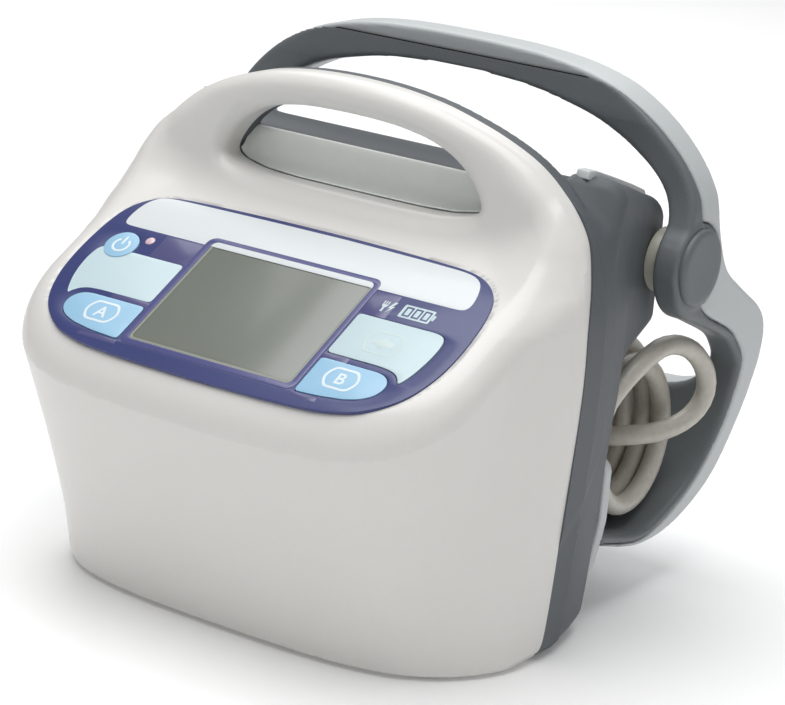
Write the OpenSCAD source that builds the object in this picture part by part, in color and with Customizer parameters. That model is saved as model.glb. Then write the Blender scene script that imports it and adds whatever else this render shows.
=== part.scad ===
// Compression therapy pump: a portable air pump with a sloping key panel, a
// carrying handle and a sprung hook at the back that also keeps the mains lead.
// Millimetres. X is across, Y runs from the front to the back, Z is up.

/* [Case] */
// Y of the joint between the front and the rear housing
seam_y = -21.74; // [-30:0.01:-10]
// Wall thickness of both housings
wall = 2.5; // [2:0.1:2.8]
// Depth of the rear face behind the joint
rear_face_y = 36; // [34:0.5:37]
// Thickness of the cushion plate on the rear face
pad_t = 2; // [1.5:0.1:2.2]

/* [Panel] */
// Slope of the key panel from the horizontal, in degrees
panel_tilt = 30.1; // [29.5:0.1:30.5]
// Width of the visible display glass
lcd_w = 62.7; // [60:0.1:63]
// Height of the visible display glass
lcd_h = 47; // [45:0.1:47.2]
// Radius of the power key
power_r = 6.3; // [5.5:0.1:6.5]
// Gap around each key
key_gap = 0.25; // [0.2:0.05:0.4]

/* [Hook] */
// Pivot distance behind the joint
pivot_y = 65; // [64.5:0.1:65.5]
// Pivot height above the table
pivot_z = 120.5; // [120:0.1:121]
// Radius of the pivot pins
pin_r = 3.95; // [3.9:0.01:3.97]
// Radius of the bores in the hook
hook_bore_r = 4; // [4:0.01:4.03]
// Radius of the round caps over the pivots
cap_r = 12.8; // [11:0.1:13]

/* [Air ports] */
// Bore radius of each tubing port
port_r = 4.6; // [3.5:0.1:5]
// Depth of each port's bore
port_depth = 14; // [10:0.5:14]

/* [Mains lead] */
// Diameter of the lead
cord_d = 6.8; // [6:0.1:6.8]
// Bend radius of the stored turns, to the middle of the lead
coil_r = 26; // [25:0.1:26]
// Length of the stored coil along X
coil_w = 152; // [148:1:153]

/* [Hidden] */

white = [0.90, 0.89, 0.86];
dark = [0.36, 0.38, 0.40];
grey = [0.64, 0.66, 0.68];
liner_c = [0.84, 0.86, 0.84];
blue = [0.21, 0.25, 0.46];
key_c = [0.65, 0.81, 0.91];
cord_c = [0.50, 0.48, 0.43];
steel = [0.75, 0.76, 0.78];

base_z = 1;

// Right half of the case outline at the joint, as [x, z] from the top down.
seam_half = [[0, 173.1], [14, 172.6], [24, 171.5], [33, 169.9], [40, 168], [47, 165.7], [53.5, 163.2], [60, 160.1],
  [65.6, 156.9], [70.6, 153.2], [75.3, 149], [79.6, 144.9], [83.6, 140.3], [86.8, 136], [89, 131.4], [91.1, 125.5],
  [92.8, 119.6], [94.4, 111.2], [95, 98], [94.8, 86], [94.2, 74], [93.3, 60], [92.3, 44], [91.4, 28], [90.4, 14],
  [89.4, 6], [87.4, 2.2], [84, base_z]];
// Right half of the panel outline, as [u, v] from the display's centre.
panel_half = [[0, 40.3], [16, 40.2], [32, 39.9], [46, 39.4], [56, 38.8], [62.5, 37.4], [67.4, 34.8],
  [71, 31.2], [73.3, 26.7], [74.8, 20], [75.5, 12], [75.6, 5], [75.1, -2], [73.9, -8], [72, -13.6],
  [69.6, -18], [66.4, -21.8], [62, -25.4], [57, -28.2], [50, -30.2], [42, -31.4], [26, -32.3], [0, -32.7]];
// Right half of the base outline in front of the joint, as [x, y].
base_half = [[89.4, 0], [89.4, -8], [88.4, -17], [86, -25], [81.5, -32.5], [74.5, -39.2], [65, -44.8],
  [54, -48.6], [41, -51], [24, -52.3], [0, -52.6]];
// Hand hole, as [x, z], right half from the top down.
hole_half = [[0, 161.6], [14, 161.2], [24, 160], [33, 157.8], [40, 154.4], [45, 150.4], [48.6, 145.8],
  [50.6, 141.6], [50, 138.8], [46, 136.9], [37, 135.3], [24, 134.7], [0, 134.6]];
// How far the joint bows back from its plane at each height, as [z, y].
bow = [[0, 0], [112, 0], [142, 10.5], [155, 10.5], [176, 2.5]];
// Hook outline from the front, as [x, z]: the outside and the ring opening.
ring_out_half = [[0, 183], [18, 182.7], [34, 181.6], [48, 179.6], [60, 176.3], [70, 171.6], [78, 166.2],
  [85, 160], [90.5, 153.6], [94, 147], [95.6, 140], [95.6, 130], [95.6, 105], [95, 85], [93, 70],
  [89.5, 50], [85.5, 30], [83, 20], [79, 17], [0, 17]];
ring_in_half = [[0, 170.4], [16, 170.1], [30, 168.9], [42, 166.6], [54, 163.4], [64, 159], [71.5, 154.4],
  [78, 149.4], [82.6, 144.2], [85.6, 138], [86.8, 130], [86.8, 110], [85.4, 98], [83.8, 86], [82, 78],
  [78, 71.6], [71, 67.6], [60, 66], [30, 65.4], [0, 65.2]];
// Hook side profile, as [y, z] from the joint: outside, then the line between the two materials, then inside.
hook_out = [[59.8, 182.8], [68, 183], [73.6, 182.4], [75.8, 178], [76.4, 168], [76.8, 158], [77.2, 148],
  [77.8, 141], [78.8, 134], [81.4, 127], [85.4, 119.4], [90, 114.6], [96, 110.7], [104.4, 105.6],
  [112.4, 100.9], [117.8, 96.2], [120.6, 91], [121.5, 85], [121.4, 77.5], [120.5, 70], [119.4, 63],
  [117.6, 56], [115.4, 48.6], [112.8, 41.4], [108.6, 34.6], [102.2, 28.6], [93.4, 23.4], [82, 19.8],
  [70, 19.4], [60, 21.3], [50, 24], [38.5, 27.4]];
hook_mid = [[38.5, 28.8], [50, 26], [60, 23.6], [68, 22.6], [75.4, 23.9], [84.8, 28.2], [93.4, 34.4],
  [99.2, 41.2], [103.4, 49], [106.9, 58.4], [108.3, 67.6], [108.6, 76.4], [107.2, 81.8], [103.6, 86.4],
  [96.4, 92.6], [87.7, 96.9], [79, 100.6], [72.6, 104.6], [68.6, 110], [66.6, 119.4], [66, 130],
  [65.4, 143], [63, 162], [60.4, 178]];
hook_in = [[57.4, 178.6], [57.6, 171], [58.8, 160], [59.4, 150], [58.8, 142], [56.4, 134], [53, 128],
  [51.2, 121], [51.8, 114], [55, 107.6], [61, 103.2], [69, 100.4], [77, 97.2], [86, 93.6], [94.4, 89.5],
  [101.4, 83.6], [104.4, 79.6], [105.3, 75.6], [105, 68], [103.7, 59.4], [100.4, 50.4], [96.4, 43.2],
  [91, 37], [82.8, 31.4], [74.2, 27.2], [68, 26], [60.4, 27], [50.4, 29.4], [38.5, 32.4]];
// Mains lead as [x, y, z] from the joint: from the gland to the stored turns, and from them to the plug.
lead_route = [[-76, 54.3, 79.1], [-76, 62, 80.4], [-75.8, 70.4, 81.4], [-75.5, 78.8, 80.6], [-75.2, 86.4, 76.8],
  [-74.8, 92, 70.6], [-74.4, 94.8, 62.8], [-74, 94, 54.4], [-73.4, 90.4, 45.6], [-72.4, 83.4, 38],
  [-70.8, 74.2, 33.8], [-69.2, 66, 33.2]];
tail_route = [[80.6, 55.4, 86], [82.6, 63.6, 89.6], [84.5, 72.2, 91], [86.4, 80.4, 89.4], [88, 87.8, 84.6],
  [88.8, 93.6, 77.6], [88.6, 95.6, 70], [87, 92.8, 63.6], [84, 86.6, 59.2], [79.6, 79.4, 57], [72.6, 73, 55.6],
  [64, 70, 54.2], [54, 69.2, 52.9], [44, 69, 52.2], [31.4, 69, 52]];
coil_y = 70;
coil_x0 = -70;
spring_wire = 1.3;

function mirrored(h) = concat(h, [for (i = [len(h) - 2:-1:1]) [-h[i][0], h[i][1]]],
  h[len(h) - 1][0] > 0.01 ? [[-h[len(h) - 1][0], h[len(h) - 1][1]]] : []);
function cr(a, b, c, d, t) = 0.5 * ((2 * b) + (c - a) * t + (2 * a - 5 * b + 4 * c - d) * t * t
  + (3 * b - a - 3 * c + d) * t * t * t);
function smooth_line(p, n) = [for (i = [0:len(p) - 2], k = [0:n - 1])
  cr(p[max(i - 1, 0)], p[i], p[i + 1], p[min(i + 2, len(p) - 1)], k / n), p[len(p) - 1]];

module along_y(y0, y1) { translate([0, y1, 0]) rotate([90, 0, 0]) linear_extrude(y1 - y0) children(); }
module along_x(w) { rotate([90, 0, 90]) translate([0, 0, -w]) linear_extrude(2 * w) children(); }
module in_case() { translate([0, seam_y, 0]) children(); }
module on_panel() { translate([0, -45.45, 104.28]) rotate([panel_tilt, 0, 0]) children(); }
module layer(n0, n1) { translate([0, 0, n0]) linear_extrude(n1 - n0) children(); }
module seam_shape(k = 1) { polygon([for (p = mirrored(seam_half)) [p[0] * k, base_z + (p[1] - base_z) * k]]); }
module hole_shape(g = 0) {
  polygon([for (p = mirrored(hole_half)) [p[0] * (1 + g / 51), 148 + (p[1] - 148) * (1 + g / 13)]]);
}
// Slices of the case outline at the given heights, from y0 to y1 behind the bowed joint, scaled by k.
module joint_slices(heights, y0, y1, k = 1) {
  for (z = heights) along_y(lookup(z, bow) + y0, lookup(z, bow) + y1) intersection() {
    seam_shape(k);
    translate([-100, z]) square([200, 0.2]);
  }
}
module panel_shape(s = 1, t = 1) { polygon([for (p = mirrored(panel_half)) [p[0] * s, 3.8 + (p[1] - 3.8) * t]]); }

// A round tube along a route: one ring of points square to the line at each route point.
module swept(route, d, sides = 10) {
  n = len(route);
  rings = [for (i = [0:n - 1]) let (
      dir = route[min(i + 1, n - 1)] - route[max(i - 1, 0)], w = dir / norm(dir),
      ref = abs(w[2]) > 0.9 ? [1, 0, 0] : [0, 0, 1],
      u0 = cross(w, ref), u = u0 / norm(u0), v = cross(w, u))
    for (k = [0:sides - 1]) route[i] + d / 2 * (cos(360 * k / sides) * u + sin(360 * k / sides) * v)];
  faces = concat([[for (k = [0:sides - 1]) k]],
    [for (i = [0:n - 2], k = [0:sides - 1]) let (a = i * sides + k, b = i * sides + (k + 1) % sides)
      each [[a, a + sides, b], [b, a + sides, b + sides]]],
    [[for (k = [sides - 1:-1:0]) (n - 1) * sides + k]]);
  polyhedron(rings, faces);
}

// Solid outside of the front housing: the lower body and the handle's front half.
module front_solid(t = 0) {
  e = t > 0 ? 1.5 : 0;
  union() {
    hull() {
      along_y(-1 - t / 2, e) intersection() { seam_shape(1 - t / 95); translate([-100, base_z + t]) square([200, 110.6 - base_z - t]); }
      along_y(-1.6 - t / 2, e - 0.6) intersection() { seam_shape(0.984 - t / 95); translate([-100, 110]) square([200, 29.8 - t]); }
      translate([0, 0, base_z + t]) linear_extrude(1)
        polygon([for (p = mirrored(base_half)) [p[0] * (1 - t / 90), p[1] * (1 - t / 60)]]);
      on_panel() layer(-1.2 - t, -0.15 - t) panel_shape(1.035 - t / 76, 1.06 - t / 38);
      on_panel() layer(-6.6 - t / 2, -5 - t / 2) translate([0, -2]) panel_shape(1.11 - t / 76, 1.16 - t / 38);
      on_panel() layer(-12 - t / 2, -11 - t / 2) translate([0, -3]) panel_shape(1.13 - t / 76, 1.16 - t / 38);
    }
    hull() {
      joint_slices([110], -4, e - 0.9, 0.996 - t / 95);
      joint_slices([112.4, 117, 122, 127, 132, 137, 142], -4, e, 1 - t / 95);
      joint_slices([112.4, 119, 126, 134, 142], -9.4 + t, -5, 0.93 - t / 95);
    }
    hull() {
      joint_slices([141.4], -4, e - 0.3, 0.995 - t / 95);
      joint_slices([142.4, 145, 148, 151.6, 155 - t / 2], -4, e, 1 - t / 95);
      joint_slices([158 - t, 161 - t, 164 - t, 167 - t, 169.6 - t, 171.4 - t, 172.8 - t], -4, e, 1);
      joint_slices([141.2, 148, 153, 157], -12 + t, -6, 0.945 - t / 95);
      along_y(-8.4 + t, -2) polygon([[-44, 162 - t], [44, 162 - t], [32, 167 - t], [14, 169.4 - t], [-14, 169.4 - t], [-32, 167 - t]]);
    }
  }
}

module key_a_shape(g = 0) {
  polygon([[34.8 + g, -10.5 - g], [57, -10.5 - g], [60.4, -11.2 - g], [62.6 - g, -13], [63.3 - g, -15.6], [62.8 - g, -18.6],
    [61 - g, -21.4], [58, -23.8 + g], [54, -25.5 + g], [47, -26.1 + g], [34.8 + g, -26.1 + g]]);
}
module key_mode_shape(g = 0) {
  polygon([[34.8 + g, 10.4 - g], [69.4 - g, 10.4 - g], [70.6 - g, 8], [71 - g, 4], [70.6 - g, 0], [69.6 - g, -3.6],
    [68 - g, -6.4], [65.6 - g, -8.1 + g], [34.8 + g, -8.1 + g]]);
}
module frame_shape(g = 0) { translate([-34 - g, -26.3 - g]) square([68 + 2 * g, 52.1 + 2 * g]); }
module window_shape(x0, x1) { translate([x0, 10.8]) square([x1 - x0, 10.5]); }
key_stems = [[-62.2, 12.5], [-49, -18], [49, -18], [52, 1]];

module front_housing() {
  color(white) in_case() difference() {
    front_solid();
    difference() {
      front_solid(wall);
      along_y(-30, 14) hole_shape(wall);
    }
    along_y(-30, 14) hole_shape();
    // seat of the label, display opening and key stem holes
    on_panel() layer(-1, 12) panel_shape();
    on_panel() layer(-30, 1) frame_shape(0.1);
    on_panel() for (p = key_stems) translate([p[0], p[1], -30]) cylinder(h = 40, r = 2.9, $fn = 32);
    // label window recesses and the lamp hole
    on_panel() translate([-53.7, 17.3, -30]) cylinder(h = 40, r = 1.3, $fn = 24);
    // pockets for the feet
    for (s = [-1, 1]) translate([s * 66, -30, -1]) cylinder(h = 3.2, r = 7.1, $fn = 40);
  }
}

// Straight body of the rear housing, and the shoulder that carries the hook.
module rear_outer(t = 0) {
  hull() {
    along_y(0.4 - t * 1.3, 13.1 - t) intersection() { seam_shape(0.992 - t / 95); translate([-100, base_z + 0.1 + t]) square([200, 110.9 - base_z - t]); }
    joint_slices([118, 125, 132 - t], 0.6 - t * 1.3, 7 - t, 0.985 - t / 95);
    along_y(20, rear_face_y - t) polygon([[-(86 - t), 12 + t / 2], [-(80 - t), 8.5 + t], [80 - t, 8.5 + t], [86 - t, 12 + t / 2], [88.5 - t, 60],
      [88.5 - t, 128], [-(88.5 - t), 128], [-(88.5 - t), 60]]);
    translate([0, 0, base_z + 0.1 + t]) linear_extrude(1) translate([-80 + t, 5.3]) square([160 - 2 * t, 23.7 - t]);
  }
}
module shoulder(t = 0) {
  hull() {
    along_y(3.3, 12.7) intersection() { seam_shape(0.988 - t / 95); translate([-100, 84.3 + t]) square([200, 27 - t]); }
    joint_slices([118, 125, 132, 137, 141.8], 0.8 - t * 0.4, 6.6 - t, 0.985 - t / 95);
    along_y(33, 36) polygon([[-86.4 + t, 84 + t], [86.4 - t, 84 + t], [86.4 - t, 134 - t], [84 - t, 143 - t], [79.6 - t, 149.6 - t],
      [-79.6 + t, 149.6 - t], [-84 + t, 143 - t], [-86.4 + t, 134 - t]]);
    along_y(46, 50) polygon([[-81.4 + t, 89.6 + t], [81.4 - t, 89.6 + t], [81.4 - t, 130 - t], [80.4 - t, 139.2 - t], [78 - t, 145.6 - t],
      [-78 + t, 145.6 - t], [-80.4 + t, 139.2 - t], [-81.4 + t, 130 - t]]);
    along_y(60, 64) polygon([[-77 + t, 94 + t], [77 - t, 94 + t], [77.4 - t, 120], [77.3 - t, 135 - t], [77.2 - t, 141.2 - t],
      [-77.2 + t, 141.2 - t], [-77.3 + t, 135 - t], [-77.4 + t, 120]]);
    along_y(72 - t, 75 - t) polygon([[-67 + t, 98 + t], [67 - t, 98 + t], [69 - t, 118], [67 - t, 133 - t], [62 - t, 137.6 - t],
      [-62 + t, 137.6 - t], [-67 + t, 133 - t], [-69 + t, 118]]);
  }
  hull() {
    joint_slices([141.8, 146, 150, 154 - t, 156.4 - t], 0.8 - t * 0.4, 6.6 - t, 0.985 - t / 95);
    along_y(33, 36) polygon([[-85.2 + t, 138], [85.2 - t, 138], [84 - t, 143 - t], [79.6 - t, 149.6 - t],
      [-79.6 + t, 149.6 - t], [-84 + t, 143 - t]]);
  }
}
deck_cut = [[16.98, 147.5], [24, 146.9], [40, 145.6], [60, 143.3], [90, 140.2], [90, 200], [9.5, 200], [16.98, 156]];

module rear_housing() {
  color(dark) in_case() difference() {
    union() {
      difference() {
        union() {
          rear_outer();
          shoulder();
          hull() {
            along_y(0, 12.2) intersection() { seam_shape(); translate([-100, 0]) square([200, 106]); }
            joint_slices([111.8, 117, 122, 127, 132, 137, 141.8], 0.1, 7);
          }
          hull() joint_slices([142, 145, 148, 151.6, 154.8], 0.1, 6.6);
          hull() joint_slices([155, 158, 161, 164, 167, 169.6, 171.4, 172.8], 0.1, 6.4);
        }
        along_x(71) polygon(deck_cut);
        along_y(-5, 17.4) hole_shape();
        // hollow
        intersection() {
          union() {
            rear_outer(wall);
            shoulder(wall);
          }
          along_x(100) polygon([[-3, 3], [90, 3], [90, 136], [62, 139.6], [40, 142], [26, 143.4], [20, 141.6], [17, 136], [14, 131.8], [-3, 131.8]]);
        }
        translate([-30.1, 4.9, -1]) cube([60.2, 18.2, 6]);
      }
      // bosses for the screws, and for the pins with a rib to the side wall
      for (s = [-1, 1], z = [26, 64]) hull() {
        translate([s * 74, 20, z]) rotate([-90, 0, 0]) cylinder(h = 15, r = 5, $fn = 32);
        translate([s * 84.5, 29.3, z - 0.7]) cube([2, 5, 2], center = true);
      }
      for (s = [-1, 1]) hull() {
        translate([s * 59, pivot_y, pivot_z]) rotate([0, s * 90, 0]) cylinder(h = 22.3, r = 8.2, $fn = 32);
        translate([s * 75, pivot_y - 9.3, pivot_z - 1]) cube([4, 4, 2], center = true);
      }
      // seat of the strain relief
      hull() {
        translate([-76, 31.6, 76.5]) rotate([-90, 0, 0]) cylinder(h = 4, r = 8, $fn = 32);
        translate([-80, 32.4, 76.2]) cube([9, 2, 17], center = true);
      }
    }
    // holes for the pins, ports, strain relief, screws and feet
    translate([0, pivot_y, pivot_z]) rotate([0, 90, 0]) cylinder(h = 220, r = pin_r + 0.04, center = true, $fn = 64);
    for (z = [48, 74]) translate([-110, 23, z]) rotate([0, 90, 0]) union() {
      cylinder(h = 40, r = 8, $fn = 64);
      cylinder(h = 18.9, r = 9.3, $fn = 64);
    }
    translate([-76, 28, 76.5]) rotate([-90, 0, 0]) cylinder(h = 20, r = 5, $fn = 48);
    for (s = [-1, 1], z = [26, 64]) translate([s * 74, 10, z]) rotate([-90, 0, 0]) union() {
      cylinder(h = 30, r = 1.75, $fn = 24);
      translate([0, 0, 23]) cylinder(h = 10, r = 3.4, $fn = 32);
    }
    for (s = [-1, 1]) translate([s * 70, 17, -1]) cylinder(h = 3.2, r = 7.1, $fn = 40);
    // seats of the light strips on the shoulders
    for (s = [-1, 1]) translate([s * 74.6, 0, 0]) rotate([90, 0, 90]) linear_extrude(5.2, center = true)
      polygon([[22, 152.1], [38, 148.2], [50, 144.4], [63, 140.3], [63, 160], [22, 170]]);
  }
}

module grip_liner() {
  color(liner_c) in_case() intersection() {
    along_x(54) polygon([[8.3, 134.9], [12, 137.2], [15, 140.8], [16.9, 145], [17.2, 147.7], [23, 147.2], [23, 148.7],
      [16.2, 149.2], [15.4, 145.6], [13.6, 141.8], [10.8, 138.8], [8.3, 137]]);
    along_y(0, 30) hole_shape(-0.4);
  }
}

module rear_pad() {
  color(grey) in_case() difference() {
    along_y(rear_face_y + 0.05, rear_face_y + pad_t) polygon([[-80, 17], [-82.5, 20], [-84, 52], [-81, 58.5], [81, 58.5], [84, 52], [82.5, 20], [80, 17]]);
    for (s = [-1, 1]) translate([s * 74, 20, 26]) rotate([-90, 0, 0]) cylinder(h = 30, r = 4, $fn = 32);
  }
}

module shoulder_trim() {
  color(grey) in_case() for (s = [-1, 1]) translate([s * 74.6, 0, 0]) rotate([90, 0, 90]) linear_extrude(4.8, center = true)
    polygon([[22.2, 152.2], [38, 148.3], [50, 144.5], [62.8, 140.4], [62.8, 142.2], [60, 144], [50, 147.2], [38, 151.2],
      [24, 155], [22.2, 154.4]]);
}

// Cover over the rear of the shoulder, in front of the hook's opening.
module shoulder_cover() {
  color(grey) in_case() hull() {
    along_y(75.1, 76.5) polygon([[-66, 99], [66, 99], [68, 118], [66, 132], [61, 136.6], [-61, 136.6], [-66, 132], [-68, 118]]);
    along_y(80, 82) polygon([[-56, 106], [56, 106], [58, 118], [56, 128], [-56, 128], [-58, 118]]);
  }
}

module panel_overlay() {
  color(blue) in_case() on_panel() layer(-1, 0) difference() {
    scale([0.996, 0.996]) panel_shape();
    frame_shape(0.1);
    window_shape(-49.5, -34.2);
    window_shape(34.2, 43.8);
    translate([-62.2, 12.5]) circle(r = power_r, $fn = 48);
    translate([-53.7, 17.3]) circle(r = 1.9, $fn = 32);
    key_a_shape();
    mirror([1, 0]) key_a_shape();
    key_mode_shape();
  }
}

module display_frame() {
  color([0.58, 0.59, 0.55]) in_case() on_panel() layer(-2.4, 0.3) difference() {
    frame_shape();
    square([lcd_w, lcd_h], center = true);
  }
}
module display_window() {
  color([0.46, 0.48, 0.44]) in_case() on_panel() layer(-1.6, -0.1) square([lcd_w - 0.1, lcd_h - 0.1], center = true);
}
module lcd_module() {
  color([0.3, 0.33, 0.3]) in_case() on_panel() layer(-5.3, -1.8) square([lcd_w - 0.6, lcd_h - 0.6], center = true);
}
module status_window_left() { color([0.35, 0.35, 0.53]) in_case() on_panel() layer(-1, 0) window_shape(-49.4, -34.3); }
module status_window_right() { color([0.35, 0.35, 0.53]) in_case() on_panel() layer(-1, 0) window_shape(34.3, 43.7); }
module power_led() {
  color([0.9, 0.75, 0.8]) in_case() on_panel() translate([-53.7, 17.3, 0]) union() {
    translate([0, 0, -1]) cylinder(h = 1.2, r = 1.8, $fn = 32);
    translate([0, 0, -5.6]) cylinder(h = 4.8, r = 1.2, $fn = 24);
  }
}
module main_board() {
  color([0.15, 0.4, 0.25]) in_case() on_panel() layer(-7.2, -5.7) translate([-67, -22]) square([134, 48]);
}
module key_domes() {
  color([0.8, 0.8, 0.78]) in_case() on_panel() for (p = key_stems) translate([p[0], p[1], -5.7]) cylinder(h = 1.8, r = 3.6, $fn = 32);
}
module buzzer() {
  color([0.1, 0.1, 0.1]) in_case() on_panel() translate([48, -8, -13.2]) cylinder(h = 6, r = 6, $fn = 40);
}

module air_pump() {
  color([0.25, 0.26, 0.28]) in_case() union() {
    translate([-32, -38, 9]) cube([64, 34, 34]);
    translate([32, -21, 26]) rotate([0, 90, 0]) cylinder(h = 30, r = 14, $fn = 64);
    translate([-42, -21, 26]) rotate([0, 90, 0]) cylinder(h = 10.2, r = 11, $fn = 48);
  }
}
module pump_mounts() {
  color([0.12, 0.12, 0.12]) in_case() for (x = [-26, 26], y = [-33, -9]) translate([x, y, base_z + wall]) cylinder(h = 5.5, r = 4, $fn = 32);
}
module valve_manifold() {
  color([0.85, 0.85, 0.83]) in_case() difference() {
    translate([-73.95, 15, 38]) cube([20, 15.8, 46]);
    translate([-74, 10, 64]) rotate([-90, 0, 0]) cylinder(h = 30, r = 5.6, $fn = 32);
  }
}
module solenoid_valves() {
  color([0.2, 0.22, 0.25]) in_case() for (z = [45, 61, 77]) translate([-53.9, 23, z]) rotate([0, 90, 0]) cylinder(h = 22, r = 6.5, $fn = 40);
}
module air_hoses() {
  color([0.75, 0.77, 0.75]) in_case() {
    swept(smooth_line([[-42.7, -21, 26], [-50, -21, 27.4], [-56, -16, 36], [-60, -8, 45], [-63, 3, 51], [-64, 14.2, 53]], 3), 6, 10);
  }
}
module battery_pack() {
  color([0.2, 0.35, 0.6]) in_case() translate([-46, 5, 6]) cube([84, 22.6, 26]);
}
module battery_door() {
  color(dark) in_case() translate([-30, 5, base_z]) cube([60, 18, 2]);
}
module power_supply() {
  color([0.7, 0.71, 0.72]) in_case() translate([-20, 5, 36]) cube([68, 26, 54]);
}

module tubing_port(z) {
  in_case() translate([-92.6, 23, z]) rotate([0, 90, 0]) difference() {
    union() {
      cylinder(h = 18.6, r = 7.95, $fn = 64);
      cylinder(h = 1.4, r = 9.2, $fn = 64);
    }
    translate([0, 0, -1]) cylinder(h = port_depth + 1, r = port_r, $fn = 64);
  }
}
module tubing_port_a() { color([0.82, 0.85, 0.88]) tubing_port(74); }
module tubing_port_b() { color([0.82, 0.85, 0.88]) tubing_port(48); }

// Strain relief of the mains lead: a stem in the rear wall, a collar and a tapering sleeve.
module cord_gland() {
  color([0.32, 0.32, 0.3]) in_case() union() {
    translate([-76, 31.2, 76.5]) rotate([-90, 0, 0]) cylinder(h = 5.3, r = 4.95, $fn = 48);
    translate([-76, 36.05, 76.5]) rotate([-90, 0, 0]) cylinder(h = 2.2, r = 6.6, $fn = 48);
    translate([-76, 37.4, 76.66]) rotate([-82, 0, 0]) cylinder(h = 16.5, r1 = 5.6, r2 = 4.3, $fn = 48);
  }
}

module feet() {
  color([0.13, 0.13, 0.13]) in_case() for (p = [[-66, -30], [66, -30], [-70, 17], [70, 17]]) translate([p[0], p[1], 0]) cylinder(h = 2.1, r = 6.9, $fn = 40);
}
module housing_screws() {
  color(steel) in_case() for (s = [-1, 1], z = [26, 64]) translate([s * 74, 20, z]) rotate([-90, 0, 0]) union() {
    cylinder(h = 13.5, r = 1.7, $fn = 24);
    translate([0, 0, 13]) cylinder(h = 2.2, r = 3.2, $fn = 32);
  }
}

module pivot_pins() {
  color(steel) in_case() for (s = [-1, 1]) translate([s * 43.6, pivot_y, pivot_z]) rotate([0, s * 90, 0]) union() {
    cylinder(h = 50.8, r = pin_r, $fn = 64);
    cylinder(h = 2.2, r = 6.4, $fn = 48);
  }
}
module pivot_bushings() {
  color([0.86, 0.84, 0.76]) in_case() for (s = [-1, 1]) translate([s * 81.4, pivot_y, pivot_z]) rotate([0, s * 90, 0]) difference() {
    cylinder(h = 4.7, r = 12.4, $fn = 64);
    translate([0, 0, -1]) cylinder(h = 10, r = hook_bore_r, $fn = 64);
  }
}
module torsion_springs() {
  color(steel) in_case() for (s = [-1, 1])
    swept([for (a = [0:24:1080]) [s * (48.6 + a / 360 * 2.4), pivot_y + 5.2 * cos(a), pivot_z + 5.2 * sin(a)]], spring_wire, 6);
}

module cord_lead() { color(cord_c) in_case() swept(smooth_line(lead_route, 2), cord_d, 10); }
module cord_tail() { color(cord_c) in_case() swept(smooth_line(tail_route, 2), cord_d, 10); }
module coil_outline(r) { hull() { translate([coil_y, 64.2]) circle(r = r, $fn = 64); translate([coil_y - 1, 59.2]) circle(r = r, $fn = 64); } }
module cord_coil() {
  color(cord_c) in_case() translate([coil_x0, 0, 0]) rotate([90, 0, 90]) linear_extrude(coil_w) difference() {
    coil_outline(coil_r + cord_d / 2);
    coil_outline(coil_r - cord_d / 2);
  }
}
module power_plug() {
  color([0.30, 0.30, 0.29]) in_case() translate([31, 69, 52]) rotate([0, -90, 0]) union() {
    cylinder(h = 24, r1 = 4.2, r2 = 6, $fn = 48);
    translate([0, 0, 23]) cylinder(h = 24, r = 13, $fn = 64);
    translate([0, 0, 46.5]) cylinder(h = 6, r = 15, $fn = 64);
  }
}
module plug_pins() {
  color(steel) in_case() translate([-21.6, 69, 52]) mirror([1, 0, 0]) union() {
    for (s = [-1, 1]) translate([0, s * 6.35 - 0.75, -3.1]) cube([17.5, 1.5, 6.2]);
    translate([0, 0, 8]) rotate([0, 90, 0]) cylinder(h = 20, r = 2.4, $fn = 32);
  }
}

module hook_ring() {
  difference() {
    along_y(30, 130) polygon(mirrored(ring_out_half));
    along_y(29, 131) polygon(mirrored(ring_in_half));
  }
}
// The hook's hubs carry the pivot bores.
module hub(r, x0, x1) {
  for (s = [-1, 1]) translate([s * x0, pivot_y, pivot_z]) rotate([0, s * 90, 0]) cylinder(h = x1 - x0, r = r, $fn = 64);
}
module hook_frame() {
  color(grey) in_case() difference() {
    intersection() {
      hook_ring();
      along_x(97) polygon(concat(hook_out, hook_mid));
    }
    hub(14.6, 80, 100);
  }
}
module hook_liner() {
  color(dark) in_case() difference() {
    union() {
      intersection() {
        hook_ring();
        along_x(97) polygon(concat([for (i = [len(hook_mid) - 1:-1:0]) hook_mid[i]], [for (i = [len(hook_in) - 1:-1:0]) hook_in[i]]));
      }
      hub(14.5, 86.9, 95.6);
    }
    hub(hook_bore_r, 80, 100);
  }
}
module pivot_cap(s) {
  in_case() translate([s * 95.65, pivot_y, pivot_z]) rotate([0, s * 90, 0]) union() {
    cylinder(h = 1.6, r = cap_r, $fn = 80);
    cylinder(h = 2.2, r1 = cap_r - 0.1, r2 = cap_r - 1.4, $fn = 80);
  }
}
module pivot_cap_left() { color(dark) pivot_cap(-1); }
module pivot_cap_right() { color(dark) pivot_cap(1); }

module key_power() {
  color(key_c) in_case() on_panel() translate([-62.2, 12.5, 0]) union() {
    translate([0, 0, -0.3]) cylinder(h = 0.9, r = power_r - key_gap, $fn = 48);
    translate([0, 0, -3]) cylinder(h = 3, r = 2.4, $fn = 32);
  }
}
module key_a() {
  color(key_c) in_case() on_panel() union() {
    layer(-0.3, 0.5) mirror([1, 0]) key_a_shape(key_gap);
    translate([-49, -18, -3]) cylinder(h = 3, r = 2.4, $fn = 32);
  }
}
module key_b() {
  color(key_c) in_case() on_panel() union() {
    layer(-0.3, 0.5) key_a_shape(key_gap);
    translate([49, -18, -3]) cylinder(h = 3, r = 2.4, $fn = 32);
  }
}
module key_mode() {
  color([0.80, 0.88, 0.90]) in_case() on_panel() union() {
    layer(-0.3, 0.5) key_mode_shape(key_gap);
    translate([52, 1, -3]) cylinder(h = 3, r = 2.4, $fn = 32);
  }
}

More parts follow.
